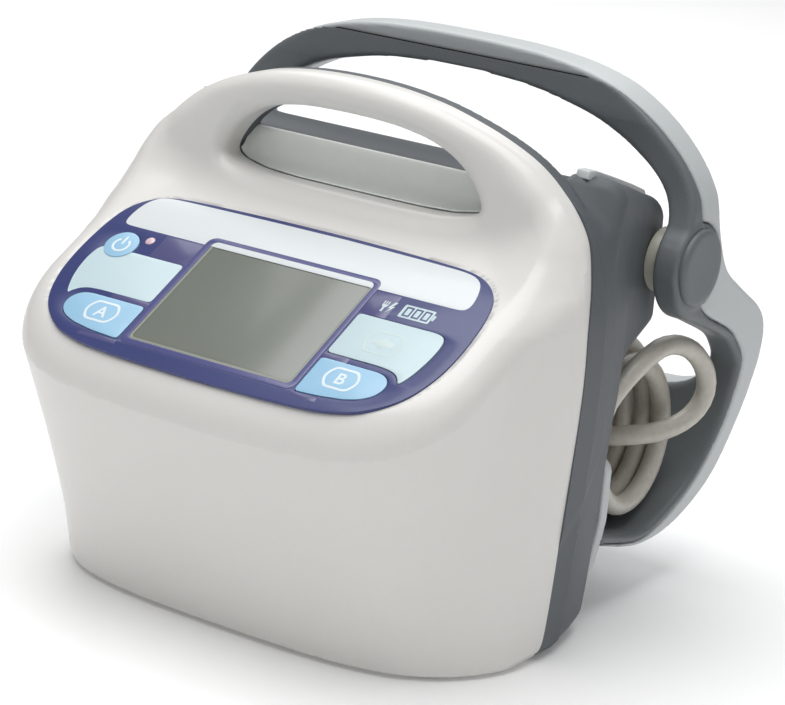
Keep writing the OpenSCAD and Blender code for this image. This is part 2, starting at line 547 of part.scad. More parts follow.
front_housing();
rear_housing();
grip_liner();
rear_pad();
shoulder_trim();
shoulder_cover();
panel_overlay();
display_frame();
display_window();
lcd_module();
status_window_left();
status_window_right();
power_led();
main_board();
key_domes();
buzzer();
air_pump();
pump_mounts();
valve_manifold();
solenoid_valves();
air_hoses();
battery_pack();
battery_door();
power_supply();
tubing_port_a();
tubing_port_b();
cord_gland();
feet();
housing_screws();
pivot_pins();
pivot_bushings();
torsion_springs();
cord_lead();
cord_coil();
cord_tail();
power_plug();
plug_pins();
hook_frame();
hook_liner();
pivot_cap_left();
pivot_cap_right();
key_power();
key_a();
key_b();
key_mode();
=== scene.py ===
import math
import random

import bpy
import bmesh
import numpy as np
from mathutils import Vector, Matrix


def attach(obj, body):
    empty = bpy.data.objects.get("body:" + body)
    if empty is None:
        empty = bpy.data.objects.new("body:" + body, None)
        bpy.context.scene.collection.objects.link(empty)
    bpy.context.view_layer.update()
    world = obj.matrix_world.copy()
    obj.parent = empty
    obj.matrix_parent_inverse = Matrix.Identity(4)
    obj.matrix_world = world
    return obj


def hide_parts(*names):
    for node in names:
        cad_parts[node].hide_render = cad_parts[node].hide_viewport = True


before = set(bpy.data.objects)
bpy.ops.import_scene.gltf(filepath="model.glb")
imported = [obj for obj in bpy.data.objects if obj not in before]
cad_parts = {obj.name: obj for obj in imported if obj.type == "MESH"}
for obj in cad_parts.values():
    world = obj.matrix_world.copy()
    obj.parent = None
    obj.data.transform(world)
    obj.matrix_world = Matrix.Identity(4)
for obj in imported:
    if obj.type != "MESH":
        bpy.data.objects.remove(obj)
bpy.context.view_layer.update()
SY = -21.74          # the joint's y in the row frame, in mm; shapes here are drawn from the joint
rng = random.Random(7)


def m(p):
    """A point drawn from the joint, in mm, as a point of the row frame, in metres."""
    return Vector((p[0] / 1000, (p[1] + SY) / 1000, p[2] / 1000))


# ---------------------------------------------------------------- camera
cam_data = bpy.data.cameras.new("camera")
cam = bpy.data.objects.new("camera", cam_data)
bpy.context.scene.collection.objects.link(cam)
az, el, roll = (math.radians(a) for a in (33.7125, 16.1292, 4.7929))
back = Vector((math.sin(az) * math.cos(el), -math.cos(az) * math.cos(el), math.sin(el)))
right = Vector((math.cos(az), math.sin(az), 0))
up = back.cross(right)
rx = math.cos(roll) * right + math.sin(roll) * up
ry = -math.sin(roll) * right + math.cos(roll) * up
cam.matrix_world = Matrix.Translation(m((503.290, -718.855, 337.415))) @ Matrix((rx, ry, back)).transposed().to_4x4()
cam_data.sensor_width = 36
cam_data.sensor_fit = "HORIZONTAL"
cam_data.lens = 2800 * 36 / 785
cam_data.clip_start = 0.05
bpy.context.scene.camera = cam


# ---------------------------------------------------------------- materials
def principled(name):
    mat = bpy.data.materials.new(name)
    mat.use_nodes = True
    nt = mat.node_tree
    return mat, nt, nt.nodes["Principled BSDF"]


def plastic(name, rgb, rough=0.4, grain=900.0, bump=0.04, vary=0.04, coat=0.0, rough_vary=0.06, spec=0.5, big=14.0,
            dark=None, metal=0.0, dist=0.0004, sss=0.0, dust=0.0):
    """Moulded surface: a fine texture in the bump, and slow changes of colour and roughness."""
    mat, nt, b = principled(name)
    N, L = nt.nodes, nt.links
    tc = N.new("ShaderNodeTexCoord")
    n1 = N.new("ShaderNodeTexNoise")
    n1.inputs["Scale"].default_value = big
    n1.inputs["Detail"].default_value = 4
    n1.inputs["Roughness"].default_value = 0.6
    L.new(tc.outputs["Object"], n1.inputs["Vector"])
    n2 = N.new("ShaderNodeTexNoise")
    n2.inputs["Scale"].default_value = grain
    n2.inputs["Detail"].default_value = 3
    L.new(tc.outputs["Object"], n2.inputs["Vector"])
    r1 = N.new("ShaderNodeValToRGB")
    lo = [c * (1 - vary) for c in rgb] if dark is None else dark
    r1.color_ramp.elements[0].position = 0.32
    r1.color_ramp.elements[1].position = 0.68
    r1.color_ramp.elements[0].color = (*lo, 1)
    r1.color_ramp.elements[1].color = (*[min(c * (1 + vary * 0.6), 1) for c in rgb], 1)
    L.new(n1.outputs["Fac"], r1.inputs["Fac"])
    speck = N.new("ShaderNodeMix")
    speck.data_type = "RGBA"
    speck.blend_type = "MULTIPLY"
    speck.inputs["Factor"].default_value = 1.0
    r3 = N.new("ShaderNodeValToRGB")
    r3.color_ramp.elements[0].position = 0.30
    r3.color_ramp.elements[1].position = 0.62
    r3.color_ramp.elements[0].color = (1 - vary * 1.3 - dust, 1 - vary * 1.3 - dust, 1 - vary * 1.3 - dust, 1)
    r3.color_ramp.elements[1].color = (1, 1, 1, 1)
    L.new(n2.outputs["Fac"], r3.inputs["Fac"])
    L.new(r1.outputs["Color"], speck.inputs["A"])
    L.new(r3.outputs["Color"], speck.inputs["B"])
    L.new(speck.outputs["Result"], b.inputs["Base Color"])
    rr = N.new("ShaderNodeMapRange")
    rr.inputs["To Min"].default_value = max(rough - rough_vary, 0.02)
    rr.inputs["To Max"].default_value = rough + rough_vary
    L.new(n1.outputs["Fac"], rr.inputs["Value"])
    L.new(rr.outputs["Result"], b.inputs["Roughness"])
    bp = N.new("ShaderNodeBump")
    bp.inputs["Strength"].default_value = bump
    bp.inputs["Distance"].default_value = dist
    L.new(n2.outputs["Fac"], bp.inputs["Height"])
    L.new(bp.outputs["Normal"], b.inputs["Normal"])
    b.inputs["Metallic"].default_value = metal
    b.inputs["Coat Weight"].default_value = coat
    b.inputs["Coat Roughness"].default_value = 0.12
    b.inputs["Specular IOR Level"].default_value = spec
    if sss:
        b.inputs["Subsurface Weight"].default_value = sss
        b.inputs["Subsurface Radius"].default_value = (0.004, 0.003, 0.002)
        b.inputs["Subsurface Scale"].default_value = 1.0
    return mat


def ribbed(name, rgb, axis, pitch, rough=0.5, bump=0.5, metal=0.0):
    """Plastic or metal with fine parallel ribs along one axis."""
    mat = plastic(name, rgb, rough, metal=metal)
    N, L = mat.node_tree.nodes, mat.node_tree.links
    b = N["Principled BSDF"]
    tc = N.new("ShaderNodeTexCoord")
    w = N.new("ShaderNodeTexWave")
    w.bands_direction = axis
    w.inputs["Scale"].default_value = 1 / pitch / 3.2
    L.new(tc.outputs["Object"], w.inputs["Vector"])
    bp = N.new("ShaderNodeBump")
    bp.inputs["Strength"].default_value = bump
    bp.inputs["Distance"].default_value = 0.0006
    L.new(w.outputs["Fac"], bp.inputs["Height"])
    L.new(bp.outputs["Normal"], b.inputs["Normal"])
    return mat


M = {}
M["white"] = plastic("white_shell", (0.80, 0.785, 0.755), 0.33, grain=1500, bump=0.02, vary=0.012, coat=0.12, rough_vary=0.04, sss=0.04)
M["dark"] = plastic("dark_shell", (0.105, 0.117, 0.128), 0.52, grain=1900, bump=0.16, vary=0.06, rough_vary=0.05, spec=0.42)
M["dark_in"] = plastic("dark_liner", (0.155, 0.170, 0.178), 0.46, grain=1900, bump=0.12, vary=0.06, rough_vary=0.05, spec=0.42)
M["grey"] = plastic("grey_plastic", (0.56, 0.59, 0.595), 0.42, grain=1700, bump=0.08, vary=0.03, rough_vary=0.04)
M["liner"] = plastic("liner_gloss", (0.93, 0.96, 0.92), 0.16, grain=300, bump=0.01, vary=0.015, coat=0.5, rough_vary=0.03)
M["blue"] = plastic("panel_blue", (0.040, 0.052, 0.190), 0.34, grain=2600, bump=0.05, vary=0.07, coat=0.15, rough_vary=0.05)
M["band"] = plastic("panel_white", (0.76, 0.80, 0.82), 0.34, grain=2600, bump=0.04, vary=0.015, coat=0.15)
M["pale"] = plastic("panel_pale", (0.585, 0.735, 0.775), 0.34, grain=2600, bump=0.04, vary=0.02, coat=0.15)
M["key"] = plastic("key_blue", (0.335, 0.590, 0.800), 0.32, grain=2600, bump=0.04, vary=0.03, coat=0.2)
M["mark"] = plastic("printed_mark", (0.80, 0.88, 0.92), 0.36, grain=2600, bump=0.02, vary=0.02)
M["mark_soft"] = plastic("printed_mark_soft", (0.64, 0.76, 0.76), 0.36, grain=2600, bump=0.02, vary=0.02)
M["tint"] = plastic("tint_window", (0.088, 0.088, 0.225), 0.22, grain=2600, bump=0.02, vary=0.05, coat=0.4)
M["border"] = plastic("display_border", (0.085, 0.090, 0.250), 0.26, grain=2600, bump=0.02, vary=0.05, coat=0.3)
M["olive"] = plastic("frame_olive", (0.30, 0.315, 0.265), 0.40, grain=2600, bump=0.03, vary=0.05)
M["lcd"] = plastic("display_glass", (0.185, 0.202, 0.176), 0.24, grain=3200, bump=0.02, vary=0.03, coat=0.35, rough_vary=0.03, big=40)
# also the colour of a strip of painted shade along the top of the display glass
M["lcd_ghost"] = plastic("display_ghost_and_painted_shade", (0.150, 0.166, 0.146), 0.28, grain=3200, bump=0.02, vary=0.03, coat=0.3)
M["led"] = plastic("led_lens", (0.80, 0.55, 0.60), 0.20, grain=800, bump=0.0, vary=0.03, coat=0.6, sss=0.2)
M["cord"] = plastic("cord_sheath", (0.60, 0.575, 0.51), 0.36, grain=520, bump=0.10, vary=0.07, coat=0.10, rough_vary=0.08, big=55)
M["plug"] = plastic("plug_body", (0.235, 0.225, 0.200), 0.42, grain=900, bump=0.10, vary=0.06)
M["pins"] = plastic("plug_contacts", (0.74, 0.66, 0.44), 0.25, grain=700, bump=0.02, vary=0.04, metal=1.0)
M["steel"] = plastic("steel", (0.62, 0.63, 0.64), 0.28, grain=700, bump=0.04, vary=0.05, metal=1.0)
M["ivory"] = plastic("bearing_ivory", (0.50, 0.49, 0.42), 0.42, grain=900, bump=0.05, vary=0.04)
M["rubber"] = plastic("black_rubber", (0.024, 0.024, 0.025), 0.72, grain=900, bump=0.2, vary=0.15)
M["port"] = plastic("port_plastic", (0.55, 0.62, 0.69), 0.28, grain=900, bump=0.03, vary=0.03, coat=0.2)
M["gap"] = plastic("joint_shadow", (0.020, 0.021, 0.022), 0.8, grain=900, bump=0.1, vary=0.1)
M["board"] = ribbed("circuit_board", (0.02, 0.14, 0.06), "X", 0.004)
M["metal_box"] = ribbed("supply_metal", (0.58, 0.59, 0.60), "Z", 0.006, 0.35, metal=1.0)
M["pump"] = ribbed("pump_metal", (0.30, 0.31, 0.33), "X", 0.005, 0.4, metal=1.0)
M["silicone"] = plastic("silicone", (0.60, 0.62, 0.60), 0.45, grain=600, bump=0.04, vary=0.04, sss=0.1)
M["battery"] = plastic("battery_wrap", (0.04, 0.10, 0.28), 0.3, grain=300, bump=0.05, vary=0.06, coat=0.3)
M["black"] = plastic("black_plastic", (0.03, 0.03, 0.032), 0.45, grain=900, bump=0.08, vary=0.1)


# ---------------------------------------------------------------- helpers for shapes
def step(x, a, b):
    t = np.clip((x - a) / (b - a), 0, 1)
    return t * t * (3 - 2 * t)


def cr_line(pts, n, closed=False):
    """Points of a smooth line through pts, n to each span."""
    P = [np.array(p, float) for p in pts]
    k = len(P)
    out = []
    for i in range(k if closed else k - 1):
        if closed:
            a, b, c, d = P[(i - 1) % k], P[i], P[(i + 1) % k], P[(i + 2) % k]
        else:
            a, b, c, d = P[max(i - 1, 0)], P[i], P[i + 1], P[min(i + 2, k - 1)]
        for j in range(n):
            t = j / n
            out.append(0.5 * ((2 * b) + (c - a) * t + (2 * a - 5 * b + 4 * c - d) * t * t + (3 * b - a - 3 * c + d) * t ** 3))
    if not closed:
        out.append(P[-1])
    return np.array(out)


def both_sides(half):
    """A closed outline from its right half, given from the top of the middle line down to it."""
    h = np.array(half, float)
    left = h[::-1].copy()
    left[:, 0] *= -1
    keep = [p for p in left if abs(p[0]) > 0.01]
    return np.vstack([h, np.array(keep)])


def sd_poly(px, py, poly):
    """Signed distance to a closed outline, below zero inside."""
    d = None
    inside = None
    n = len(poly)
    for i in range(n):
        ax, ay = poly[i]
        bx, by = poly[(i + 1) % n]
        ex, ey = bx - ax, by - ay
        wx, wy = px - ax, py - ay
        t = np.clip((wx * ex + wy * ey) / max(ex * ex + ey * ey, 1e-12), 0, 1)
        q = (wx - ex * t) ** 2 + (wy - ey * t) ** 2
        d = q if d is None else np.minimum(d, q)
        c = ((ay > py) != (by > py)) & (px < (bx - ax) * (py - ay) / ((by - ay) if by != ay else 1e-12) + ax)
        inside = c if inside is None else inside ^ c
    return np.where(inside, -1, 1) * np.sqrt(d)


class Field:
    """A plane distance field kept on a grid."""

    def __init__(self, poly, pad=26, h=0.5):
        self.lo = poly.min(0) - pad
        n = np.ceil((poly.max(0) + pad - self.lo) / h).astype(int) + 1
        self.h = h
        xs = self.lo[0] + h * np.arange(n[0])
        ys = self.lo[1] + h * np.arange(n[1])
        self.v = sd_poly(xs[:, None], ys[None, :], poly)

    def __call__(self, a, b):
        u = np.clip((a - self.lo[0]) / self.h, 0, self.v.shape[0] - 1.001)
        w = np.clip((b - self.lo[1]) / self.h, 0, self.v.shape[1] - 1.001)
        u, w = np.broadcast_arrays(u, w)
        i = u.astype(int)
        j = w.astype(int)
        fu, fw = u - i, w - j
        v = self.v
        return (v[i, j] * (1 - fu) + v[i + 1, j] * fu) * (1 - fw) + (v[i, j + 1] * (1 - fu) + v[i + 1, j + 1] * fu) * fw


def rmax(a, b, r):
    """Intersection with a rounded edge of radius r."""
    u = np.maximum(a + r, 0)
    v = np.maximum(b + r, 0)
    return np.minimum(-r, np.maximum(a, b)) + np.sqrt(u * u + v * v)


def smin(a, b, k):
    """Union with a soft fillet."""
    h = np.maximum(k - np.abs(a - b), 0) / k
    return np.minimum(a, b) - h * h * k * 0.25


BOW_Z = np.arange(-20, 220, 1.0)
BOW_Y = np.interp(BOW_Z, [0, 112, 142, 155, 176], [0, 0, 10.5, 10.5, 2.5])
BOW_Y = np.convolve(np.pad(BOW_Y, 5, "edge"), np.ones(11) / 11, "valid")


def bow(z):
    """How far the joint of the two housings bows back from its plane at each height."""
    return np.interp(z, BOW_Z, BOW_Y)


EDGES = [((0, 0, 0), (1, 0, 0)), ((0, 1, 0), (1, 1, 0)), ((0, 0, 1), (1, 0, 1)), ((0, 1, 1), (1, 1, 1)),
         ((0, 0, 0), (0, 1, 0)), ((1, 0, 0), (1, 1, 0)), ((0, 0, 1), (0, 1, 1)), ((1, 0, 1), (1, 1, 1)),
         ((0, 0, 0), (0, 0, 1)), ((1, 0, 0), (1, 0, 1)), ((0, 1, 0), (0, 1, 1)), ((1, 1, 0), (1, 1, 1))]


def surface(f, lo, hi, h, relax=3):
    """A quad mesh on f = 0: one point to each cell that the surface crosses, moved onto the surface."""
    ax = [np.arange(lo[i] + 0.137 * h, hi[i] + h, h) for i in range(3)]
    X, Y, Z = ax[0][:, None, None], ax[1][None, :, None], ax[2][None, None, :]
    V = np.broadcast_to(f(X, Y, Z), (len(ax[0]), len(ax[1]), len(ax[2]))).astype(np.float32)
    ins = V < 0
    n = [len(a) - 1 for a in ax]
    cnt = np.zeros(n, np.int8)
    for i in (0, 1):
        for j in (0, 1):
            for k in (0, 1):
                cnt += ins[i:n[0] + i, j:n[1] + j, k:n[2] + k]
    act = (cnt > 0) & (cnt < 8)
    idx = -np.ones(n, int)
    I, J, K = np.nonzero(act)
    idx[I, J, K] = np.arange(len(I))
    pos = np.zeros((len(I), 3))
    w = np.zeros(len(I))
    base = np.stack([I, J, K], 1).astype(float)
    for a, b in EDGES:
        va = V[I + a[0], J + a[1], K + a[2]]
        vb = V[I + b[0], J + b[1], K + b[2]]
        cross = (va < 0) != (vb < 0)
        t = np.where(cross, va / np.where(cross, va - vb, 1), 0)
        p = np.array(a)[None] + t[:, None] * (np.array(b) - np.array(a))[None]
        pos += np.where(cross[:, None], base + p, 0)
        w += cross
    P = pos / w[:, None]
    P = np.stack([ax[i][0] + P[:, i] * h for i in range(3)], 1)
    quads = []
    for axis in range(3):
        s0 = [slice(None)] * 3
        s1 = [slice(None)] * 3
        s0[axis], s1[axis] = slice(0, -1), slice(1, None)
        ch = ins[tuple(s0)] != ins[tuple(s1)]
        o = [a for a in range(3) if a != axis]
        e = np.stack(np.nonzero(ch), 1)
        ok = (e[:, o[0]] > 0) & (e[:, o[1]] > 0) & (e[:, o[0]] < n[o[0]]) & (e[:, o[1]] < n[o[1]])
        e = e[ok]
        first = ins[e[:, 0], e[:, 1], e[:, 2]]

        def cell(da, db):
            c = e.copy()
            c[:, o[0]] += da
            c[:, o[1]] += db
            return idx[c[:, 0], c[:, 1], c[:, 2]]
        q = np.stack([cell(-1, -1), cell(0, -1), cell(0, 0), cell(-1, 0)], 1)
        flip = ~first if axis != 1 else first
        q[flip] = q[flip][:, ::-1]
        quads.append(q)
    Q = np.vstack(quads)
    Q = Q[(Q >= 0).all(1)]

    def grad(p):
        e = 0.06
        g = np.zeros_like(p)
        for a in range(3):
            q = p.copy()
            q[:, a] += e
            r = p.copy()
            r[:, a] -= e
            g[:, a] = (f(q[:, 0], q[:, 1], q[:, 2]) - f(r[:, 0], r[:, 1], r[:, 2])) / (2 * e)
        return g

    def project(p, times):
        for _ in range(times):
            v = f(p[:, 0], p[:, 1], p[:, 2])
            g = grad(p)
            mv = v[:, None] * g / np.maximum((g * g).sum(1), 0.05)[:, None]
            ln = np.linalg.norm(mv, axis=1)
            mv *= np.minimum(1, 0.7 * h / np.maximum(ln, 1e-9))[:, None]
            p = p - mv
        return p

    for _ in range(relax):
        c = P[Q].mean(1)
        acc = np.zeros_like(P)
        k = np.zeros(len(P))
        for j in range(4):
            np.add.at(acc, Q[:, j], c)
            np.add.at(k, Q[:, j], 1)
        P = P + 0.6 * (acc / np.maximum(k, 1)[:, None] - P)
        P = project(P, 1)
    P = project(P, 2)
    g = grad(P)
    g /= np.maximum(np.linalg.norm(g, axis=1), 1e-9)[:, None]
    return P, Q, g


def mesh_object(name, P, faces, mat, body, normals=None, smooth=True, replaces=()):
    """A mesh from points in mm from the joint."""
    me = bpy.data.meshes.new(name)
    P = np.asarray(P, float).copy()
    P[:, 1] += SY
    P /= 1000
    me.from_pydata(P.tolist(), [], faces.tolist() if hasattr(faces, "tolist") else faces)
    me.update()
    if smooth:
        me.polygons.foreach_set("use_smooth", [True] * len(me.polygons))
    if normals is not None:
        me.normals_split_custom_set_from_vertices(normals.tolist())
    ob = bpy.data.objects.new(name, me)
    bpy.context.scene.collection.objects.link(ob)
    me.materials.append(mat)
    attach(ob, body)
    if replaces:
        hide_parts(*replaces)
    return ob


def shell(name, f, lo, hi, h, side, mat, body, replaces):
    """A housing's surface, ended exactly at the bowed joint and closed there. side is -1 in front of it and 1 behind."""
    P_, Q_, _ = surface(lambda x, y, z: f(x, y + bow(z), z), lo, hi, h)
    me_ = bpy.data.meshes.new(name)
    me_.from_pydata(P_.tolist(), [], Q_.tolist())
    bm = bmesh.new()
    bm.from_mesh(me_)
    bmesh.ops.bisect_plane(bm, geom=bm.verts[:] + bm.edges[:] + bm.faces[:], dist=0.02, plane_co=(0, 0, 0), plane_no=(0, -side, 0), clear_outer=True)
    rim_ = [e for e in bm.edges if e.is_boundary and all(abs(v_.co.y) < 0.05 for v_ in e.verts)]
    bmesh.ops.triangle_fill(bm, edges=rim_, use_beauty=True, normal=(0, -side, 0))
    bm.verts.ensure_lookup_table()
    bm.faces.ensure_lookup_table()
    V = np.array([v_.co[:] for v_ in bm.verts])
    caps = [all(abs(v_.co.y) < 0.05 for v_ in fc_.verts) for fc_ in bm.faces]
    F_ = [[v_.index for v_ in fc_.verts] for fc_ in bm.faces]
    for i_, c_ in enumerate(caps):
        if c_:
            a_, b_, d_ = (V[j_] for j_ in F_[i_][:3])
            if (np.cross(b_ - a_, d_ - a_)[1] > 0) != (side < 0):
                F_[i_] = F_[i_][::-1]
    bm.free()
    bpy.data.meshes.remove(me_)
    V[:, 1] += bow(V[:, 2])
    G_ = np.zeros_like(V)
    for a_ in range(3):
        q_, r_ = V.copy(), V.copy()
        q_[:, a_] += 0.06
        r_[:, a_] -= 0.06
        G_[:, a_] = f(q_[:, 0], q_[:, 1], q_[:, 2]) - f(r_[:, 0], r_[:, 1], r_[:, 2])
    G_ /= np.maximum(np.linalg.norm(G_, axis=1), 1e-9)[:, None]
    ob_ = mesh_object(name, V, F_, mat, body, replaces=replaces)
    nl = []
    for fc_, c_ in zip(ob_.data.polygons, caps):
        for vi in fc_.vertices:
            nl.append((0.0, float(-side), 0.0) if c_ else G_[vi].tolist())
    ob_.data.normals_split_custom_set(nl)
    return ob_


def face_out(me):
    bm = bmesh.new()
    bm.from_mesh(me)
    bmesh.ops.recalc_face_normals(bm, faces=bm.faces)
    bm.to_mesh(me)
    bm.free()


def lathe(name, prof, centre, axis, mat, body, n=96, replaces=()):
    """prof is [(distance along the axis, radius)], turned round an axis through centre, all in mm."""
    axis = Vector(axis).normalized()
    u = axis.orthogonal().normalized()
    v = axis.cross(u)
    P, F = [], []
    for a, r in prof:
        for i in range(n):
            t = 2 * math.pi * i / n
            P.append(tuple(Vector(centre) + axis * a + (u * math.cos(t) + v * math.sin(t)) * r))
    k = len(prof)
    for j in range(k - 1):
        for i in range(n):
            F.append((j * n + i, j * n + (i + 1) % n, (j + 1) * n + (i + 1) % n, (j + 1) * n + i))
    F.append(tuple(range(n))[::-1])
    F.append(tuple((k - 1) * n + i for i in range(n)))
    ob = mesh_object(name, P, F, mat, body, replaces=replaces)
    face_out(ob.data)
    ob.data.polygons.foreach_set("use_smooth", [True] * len(ob.data.polygons))
    auto_smooth(ob, 40)
    return ob


def auto_smooth(ob, angle):
    """Edges sharper than the angle are marked, so that flats stay flat."""
    me = ob.data
    bm = bmesh.new()
    bm.from_mesh(me)
    lim = math.radians(angle)
    for e in bm.edges:
        e.smooth = not (len(e.link_faces) == 2 and e.calc_face_angle(0) > lim)
    bm.to_mesh(me)
    bm.free()


def arc(c, r, a0, a1, n):
    return [(c[0] + r * math.cos(math.radians(a0 + (a1 - a0) * i / n)), c[1] + r * math.sin(math.radians(a0 + (a1 - a0) * i / n)))
            for i in range(n + 1)]


def rrect(x0, y0, x1, y1, r, n=6):
    return (arc((x1 - r, y1 - r), r, 0, 90, n) + arc((x0 + r, y1 - r), r, 90, 180, n)
            + arc((x0 + r, y0 + r), r, 180, 270, n) + arc((x1 - r, y0 + r), r, 270, 360, n))


TILT = math.radians(30.1)
PU = Vector((1, 0, 0))
PV = Vector((0, math.cos(TILT), math.sin(TILT)))
PN = Vector((0, -math.sin(TILT), math.cos(TILT)))
PC = Vector((0, -45.45, 104.28))


def on_panel(u, v, n=0.0):
    return PC + PU * u + PV * v + PN * n


def plate(name, loops, n0, n1, mat, body, bevel=0.08, at=None, replaces=()):
    """A thin plate of filled outlines on the panel, from height n0 to n1 in mm. A loop inside another is a hole."""
    cu = bpy.data.curves.new(name, "CURVE")
    cu.dimensions = "2D"
    cu.fill_mode = "BOTH"
    for lp in loops:
        sp = cu.splines.new("POLY")
        sp.points.add(len(lp) - 1)
        for i, p in enumerate(lp):
            sp.points[i].co = (p[0], p[1], 0, 1)
        sp.use_cyclic_u = True
    cu.extrude = (n1 - n0) / 2 - bevel
    cu.bevel_depth = bevel
    cu.bevel_resolution = 2
    cu.offset = -bevel
    tmp = bpy.data.objects.new(name, cu)
    bpy.context.scene.collection.objects.link(tmp)
    bpy.context.view_layer.update()
    me = bpy.data.meshes.new_from_object(tmp.evaluated_get(bpy.context.evaluated_depsgraph_get()))
    bpy.data.objects.remove(tmp)
    mid = (n0 + n1) / 2
    for vtx in me.vertices:
        c = vtx.co
        q = on_panel(c.x, c.y, c.z + mid) if at is None else at(c.x, c.y, c.z + mid)
        vtx.co = m(q)
    me.materials.clear()
    me.materials.append(mat)
    ob = bpy.data.objects.new(name, me)
    bpy.context.scene.collection.objects.link(ob)
    bm = bmesh.new()
    bm.from_mesh(me)
    bmesh.ops.remove_doubles(bm, verts=bm.verts, dist=1e-7)
    bmesh.ops.recalc_face_normals(bm, faces=bm.faces)
    bm.to_mesh(me)
    bm.free()
    me.polygons.foreach_set("use_smooth", [True] * len(me.polygons))
    auto_smooth(ob, 35)
    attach(ob, body)
    if replaces:
        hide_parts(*replaces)
    return ob


# ---------------------------------------------------------------- mains lead
LEAD = [(-76, 54.3, 79.1), (-76, 62, 80.4), (-75.8, 70.4, 81.4), (-75.5, 78.8, 80.6), (-75.2, 86.4, 76.8),
        (-74.8, 92, 70.6), (-74.4, 94.8, 62.8), (-74, 94, 54.4), (-73.4, 90.4, 45.6), (-72.4, 83.4, 38),
        (-70.8, 74.2, 33.8)]
TAIL = [(82.6, 63.6, 89.6), (84.5, 72.2, 91), (86.4, 80.4, 89.4), (88, 87.8, 84.6), (88.8, 93.6, 77.6), (88.6, 95.6, 70), (87, 92.8, 63.6),
        (84, 86.6, 59.2), (79.6, 79.4, 57), (72.6, 73, 55.6), (64, 70, 54.2), (54, 69.2, 52.9), (44, 69, 52.2), (31.4, 69, 52)]
CORD_D = 6.8
COIL_R = 26.0


# radius of each turn, counted from the right end; the turns rest on one another and are not all alike
TURN_R = [25.9, 21.6, 24.6, 20.8, 23.4, 25.4, 23.2, 24.8, 22.6, 25.2, 24.0, 25.6, 23.4, 24.6, 25.4, 23.0, 24.8, 25.6, 23.8, 25.2, 26.0, 26.0]


def coil_point(turns, x):
    """A point of the stored turns: loops that rest at one height, slightly taller than they are wide."""
    a = 2 * math.pi * turns
    c, s = math.cos(a), math.sin(a)
    from_end = max(turns - T1, 0)
    i = min(int(from_end), len(TURN_R) - 2)
    r = TURN_R[i] + (TURN_R[i + 1] - TURN_R[i]) * step(from_end - i, 0.0, 1.0)
    low = 61.7 - 2.5 - COIL_R
    return (x, 69.5 + r * c + 0.5 * s, low + r + 2.5 + (r + 2.5) * s)


# the first turn starts at the bottom of the left end and runs towards the housing
T0, X_FIRST, X_LAST = -0.25, -66.6, 78.6
T1 = -20.659
PITCH = (X_LAST - X_FIRST) / (T0 - T1)
coil = []
steps = int((T0 - T1) * 40)
for i in range(steps + 1):
    t = T0 + (T1 - T0) * i / steps
    x = X_FIRST + (T0 - t) * PITCH
    coil.append(coil_point(t, x))
route = [np.array(p, float) for p in LEAD] + [np.array(p) for p in coil[6:-3]] + [np.array(p, float) for p in TAIL]
line = cr_line(route, 2)
# even out the line a little, then keep one point every 3 mm
for _ in range(3):
    line[1:-1] = 0.25 * line[:-2] + 0.5 * line[1:-1] + 0.25 * line[2:]
seg = np.r_[0, np.cumsum(np.linalg.norm(np.diff(line, axis=0), axis=1))]
nn = int(seg[-1] / 3.4)
line = np.stack([np.interp(np.linspace(0, seg[-1], nn), seg, line[:, i]) for i in range(3)], 1)

cu = bpy.data.curves.new("mains_lead", "CURVE")
cu.dimensions = "3D"
sp = cu.splines.new("POLY")
sp.points.add(len(line) - 1)
for i, p in enumerate(line):
    sp.points[i].co = (*m(p), 1)
sp.use_smooth = True
cu.bevel_depth = CORD_D / 2000
cu.bevel_resolution = 5
cu.use_fill_caps = True
lead = bpy.data.objects.new("mains_lead", cu)
bpy.context.scene.collection.objects.link(lead)
cu.materials.append(M["cord"])
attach(lead, "case")
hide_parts("cord_lead", "cord_coil", "cord_tail")

# strain relief: stem, collar, and a sleeve with grooves
tilt = math.radians(8)
gl_axis = (0, math.cos(tilt), math.sin(tilt))
prof = [(-1.4, 4.6), (-1.4, 6.0), (-1.0, 6.6), (0.4, 6.6), (0.9, 6.2), (1.0, 5.55)]
for i in range(6):
    a0 = 2.2 + i * 2.3
    r0 = 5.5 - i * 0.17
    prof += [(a0, r0), (a0 + 0.15, r0 - 0.75), (a0 + 0.95, r0 - 0.8), (a0 + 1.1, r0 - 0.05)]
prof += [(15.8, 4.42), (16.5, 4.1), (16.6, 3.5)]
relief = lathe("strain_relief", prof, (-76, 37.4, 76.66), gl_axis, M["plug"], "case", 64, replaces=("cord_gland",))

# plug: relief, grip with finger ribs, and a flange
prof = [(-0.6, 3.45), (-0.4, 4.2)]
for i in range(7):
    a0 = 1.2 + i * 3.0
    r0 = 4.3 + i * 0.22
    prof += [(a0, r0), (a0 + 0.2, r0 + 0.55), (a0 + 1.7, r0 + 0.6), (a0 + 1.9, r0 + 0.1)]
prof += [(22.6, 6.1), (23.2, 9.5), (24.6, 11.8), (27, 12.9), (31, 13.0), (34, 12.4), (38, 11.9), (42, 12.1), (45.6, 12.8), (46.6, 13.4),
         (46.9, 14.6), (47.5, 15.0), (51.6, 15.0), (52.3, 14.5), (52.5, 13.6)]
plug = lathe("plug_body", prof, (31, 69, 52), (-1, 0, 0), M["plug"], "case", 72, replaces=("power_plug",))
P, F = [], []
pins_bm = bmesh.new()
for s in (-1, 1):
    c = m((-21.6 - 8.4, 69 + s * 6.35, 52))
    r = bmesh.ops.create_cube(pins_bm, size=1.0, matrix=Matrix.Translation(c) @ Matrix.Diagonal((0.0172, 0.0015, 0.0062, 1)))
r = bmesh.ops.create_cone(pins_bm, cap_ends=True, segments=32, radius1=0.0024, radius2=0.0024, depth=0.0198,
                          matrix=Matrix.Translation(m((-21.6 - 10, 69, 60))) @ Matrix.Rotation(math.pi / 2, 4, "Y"))
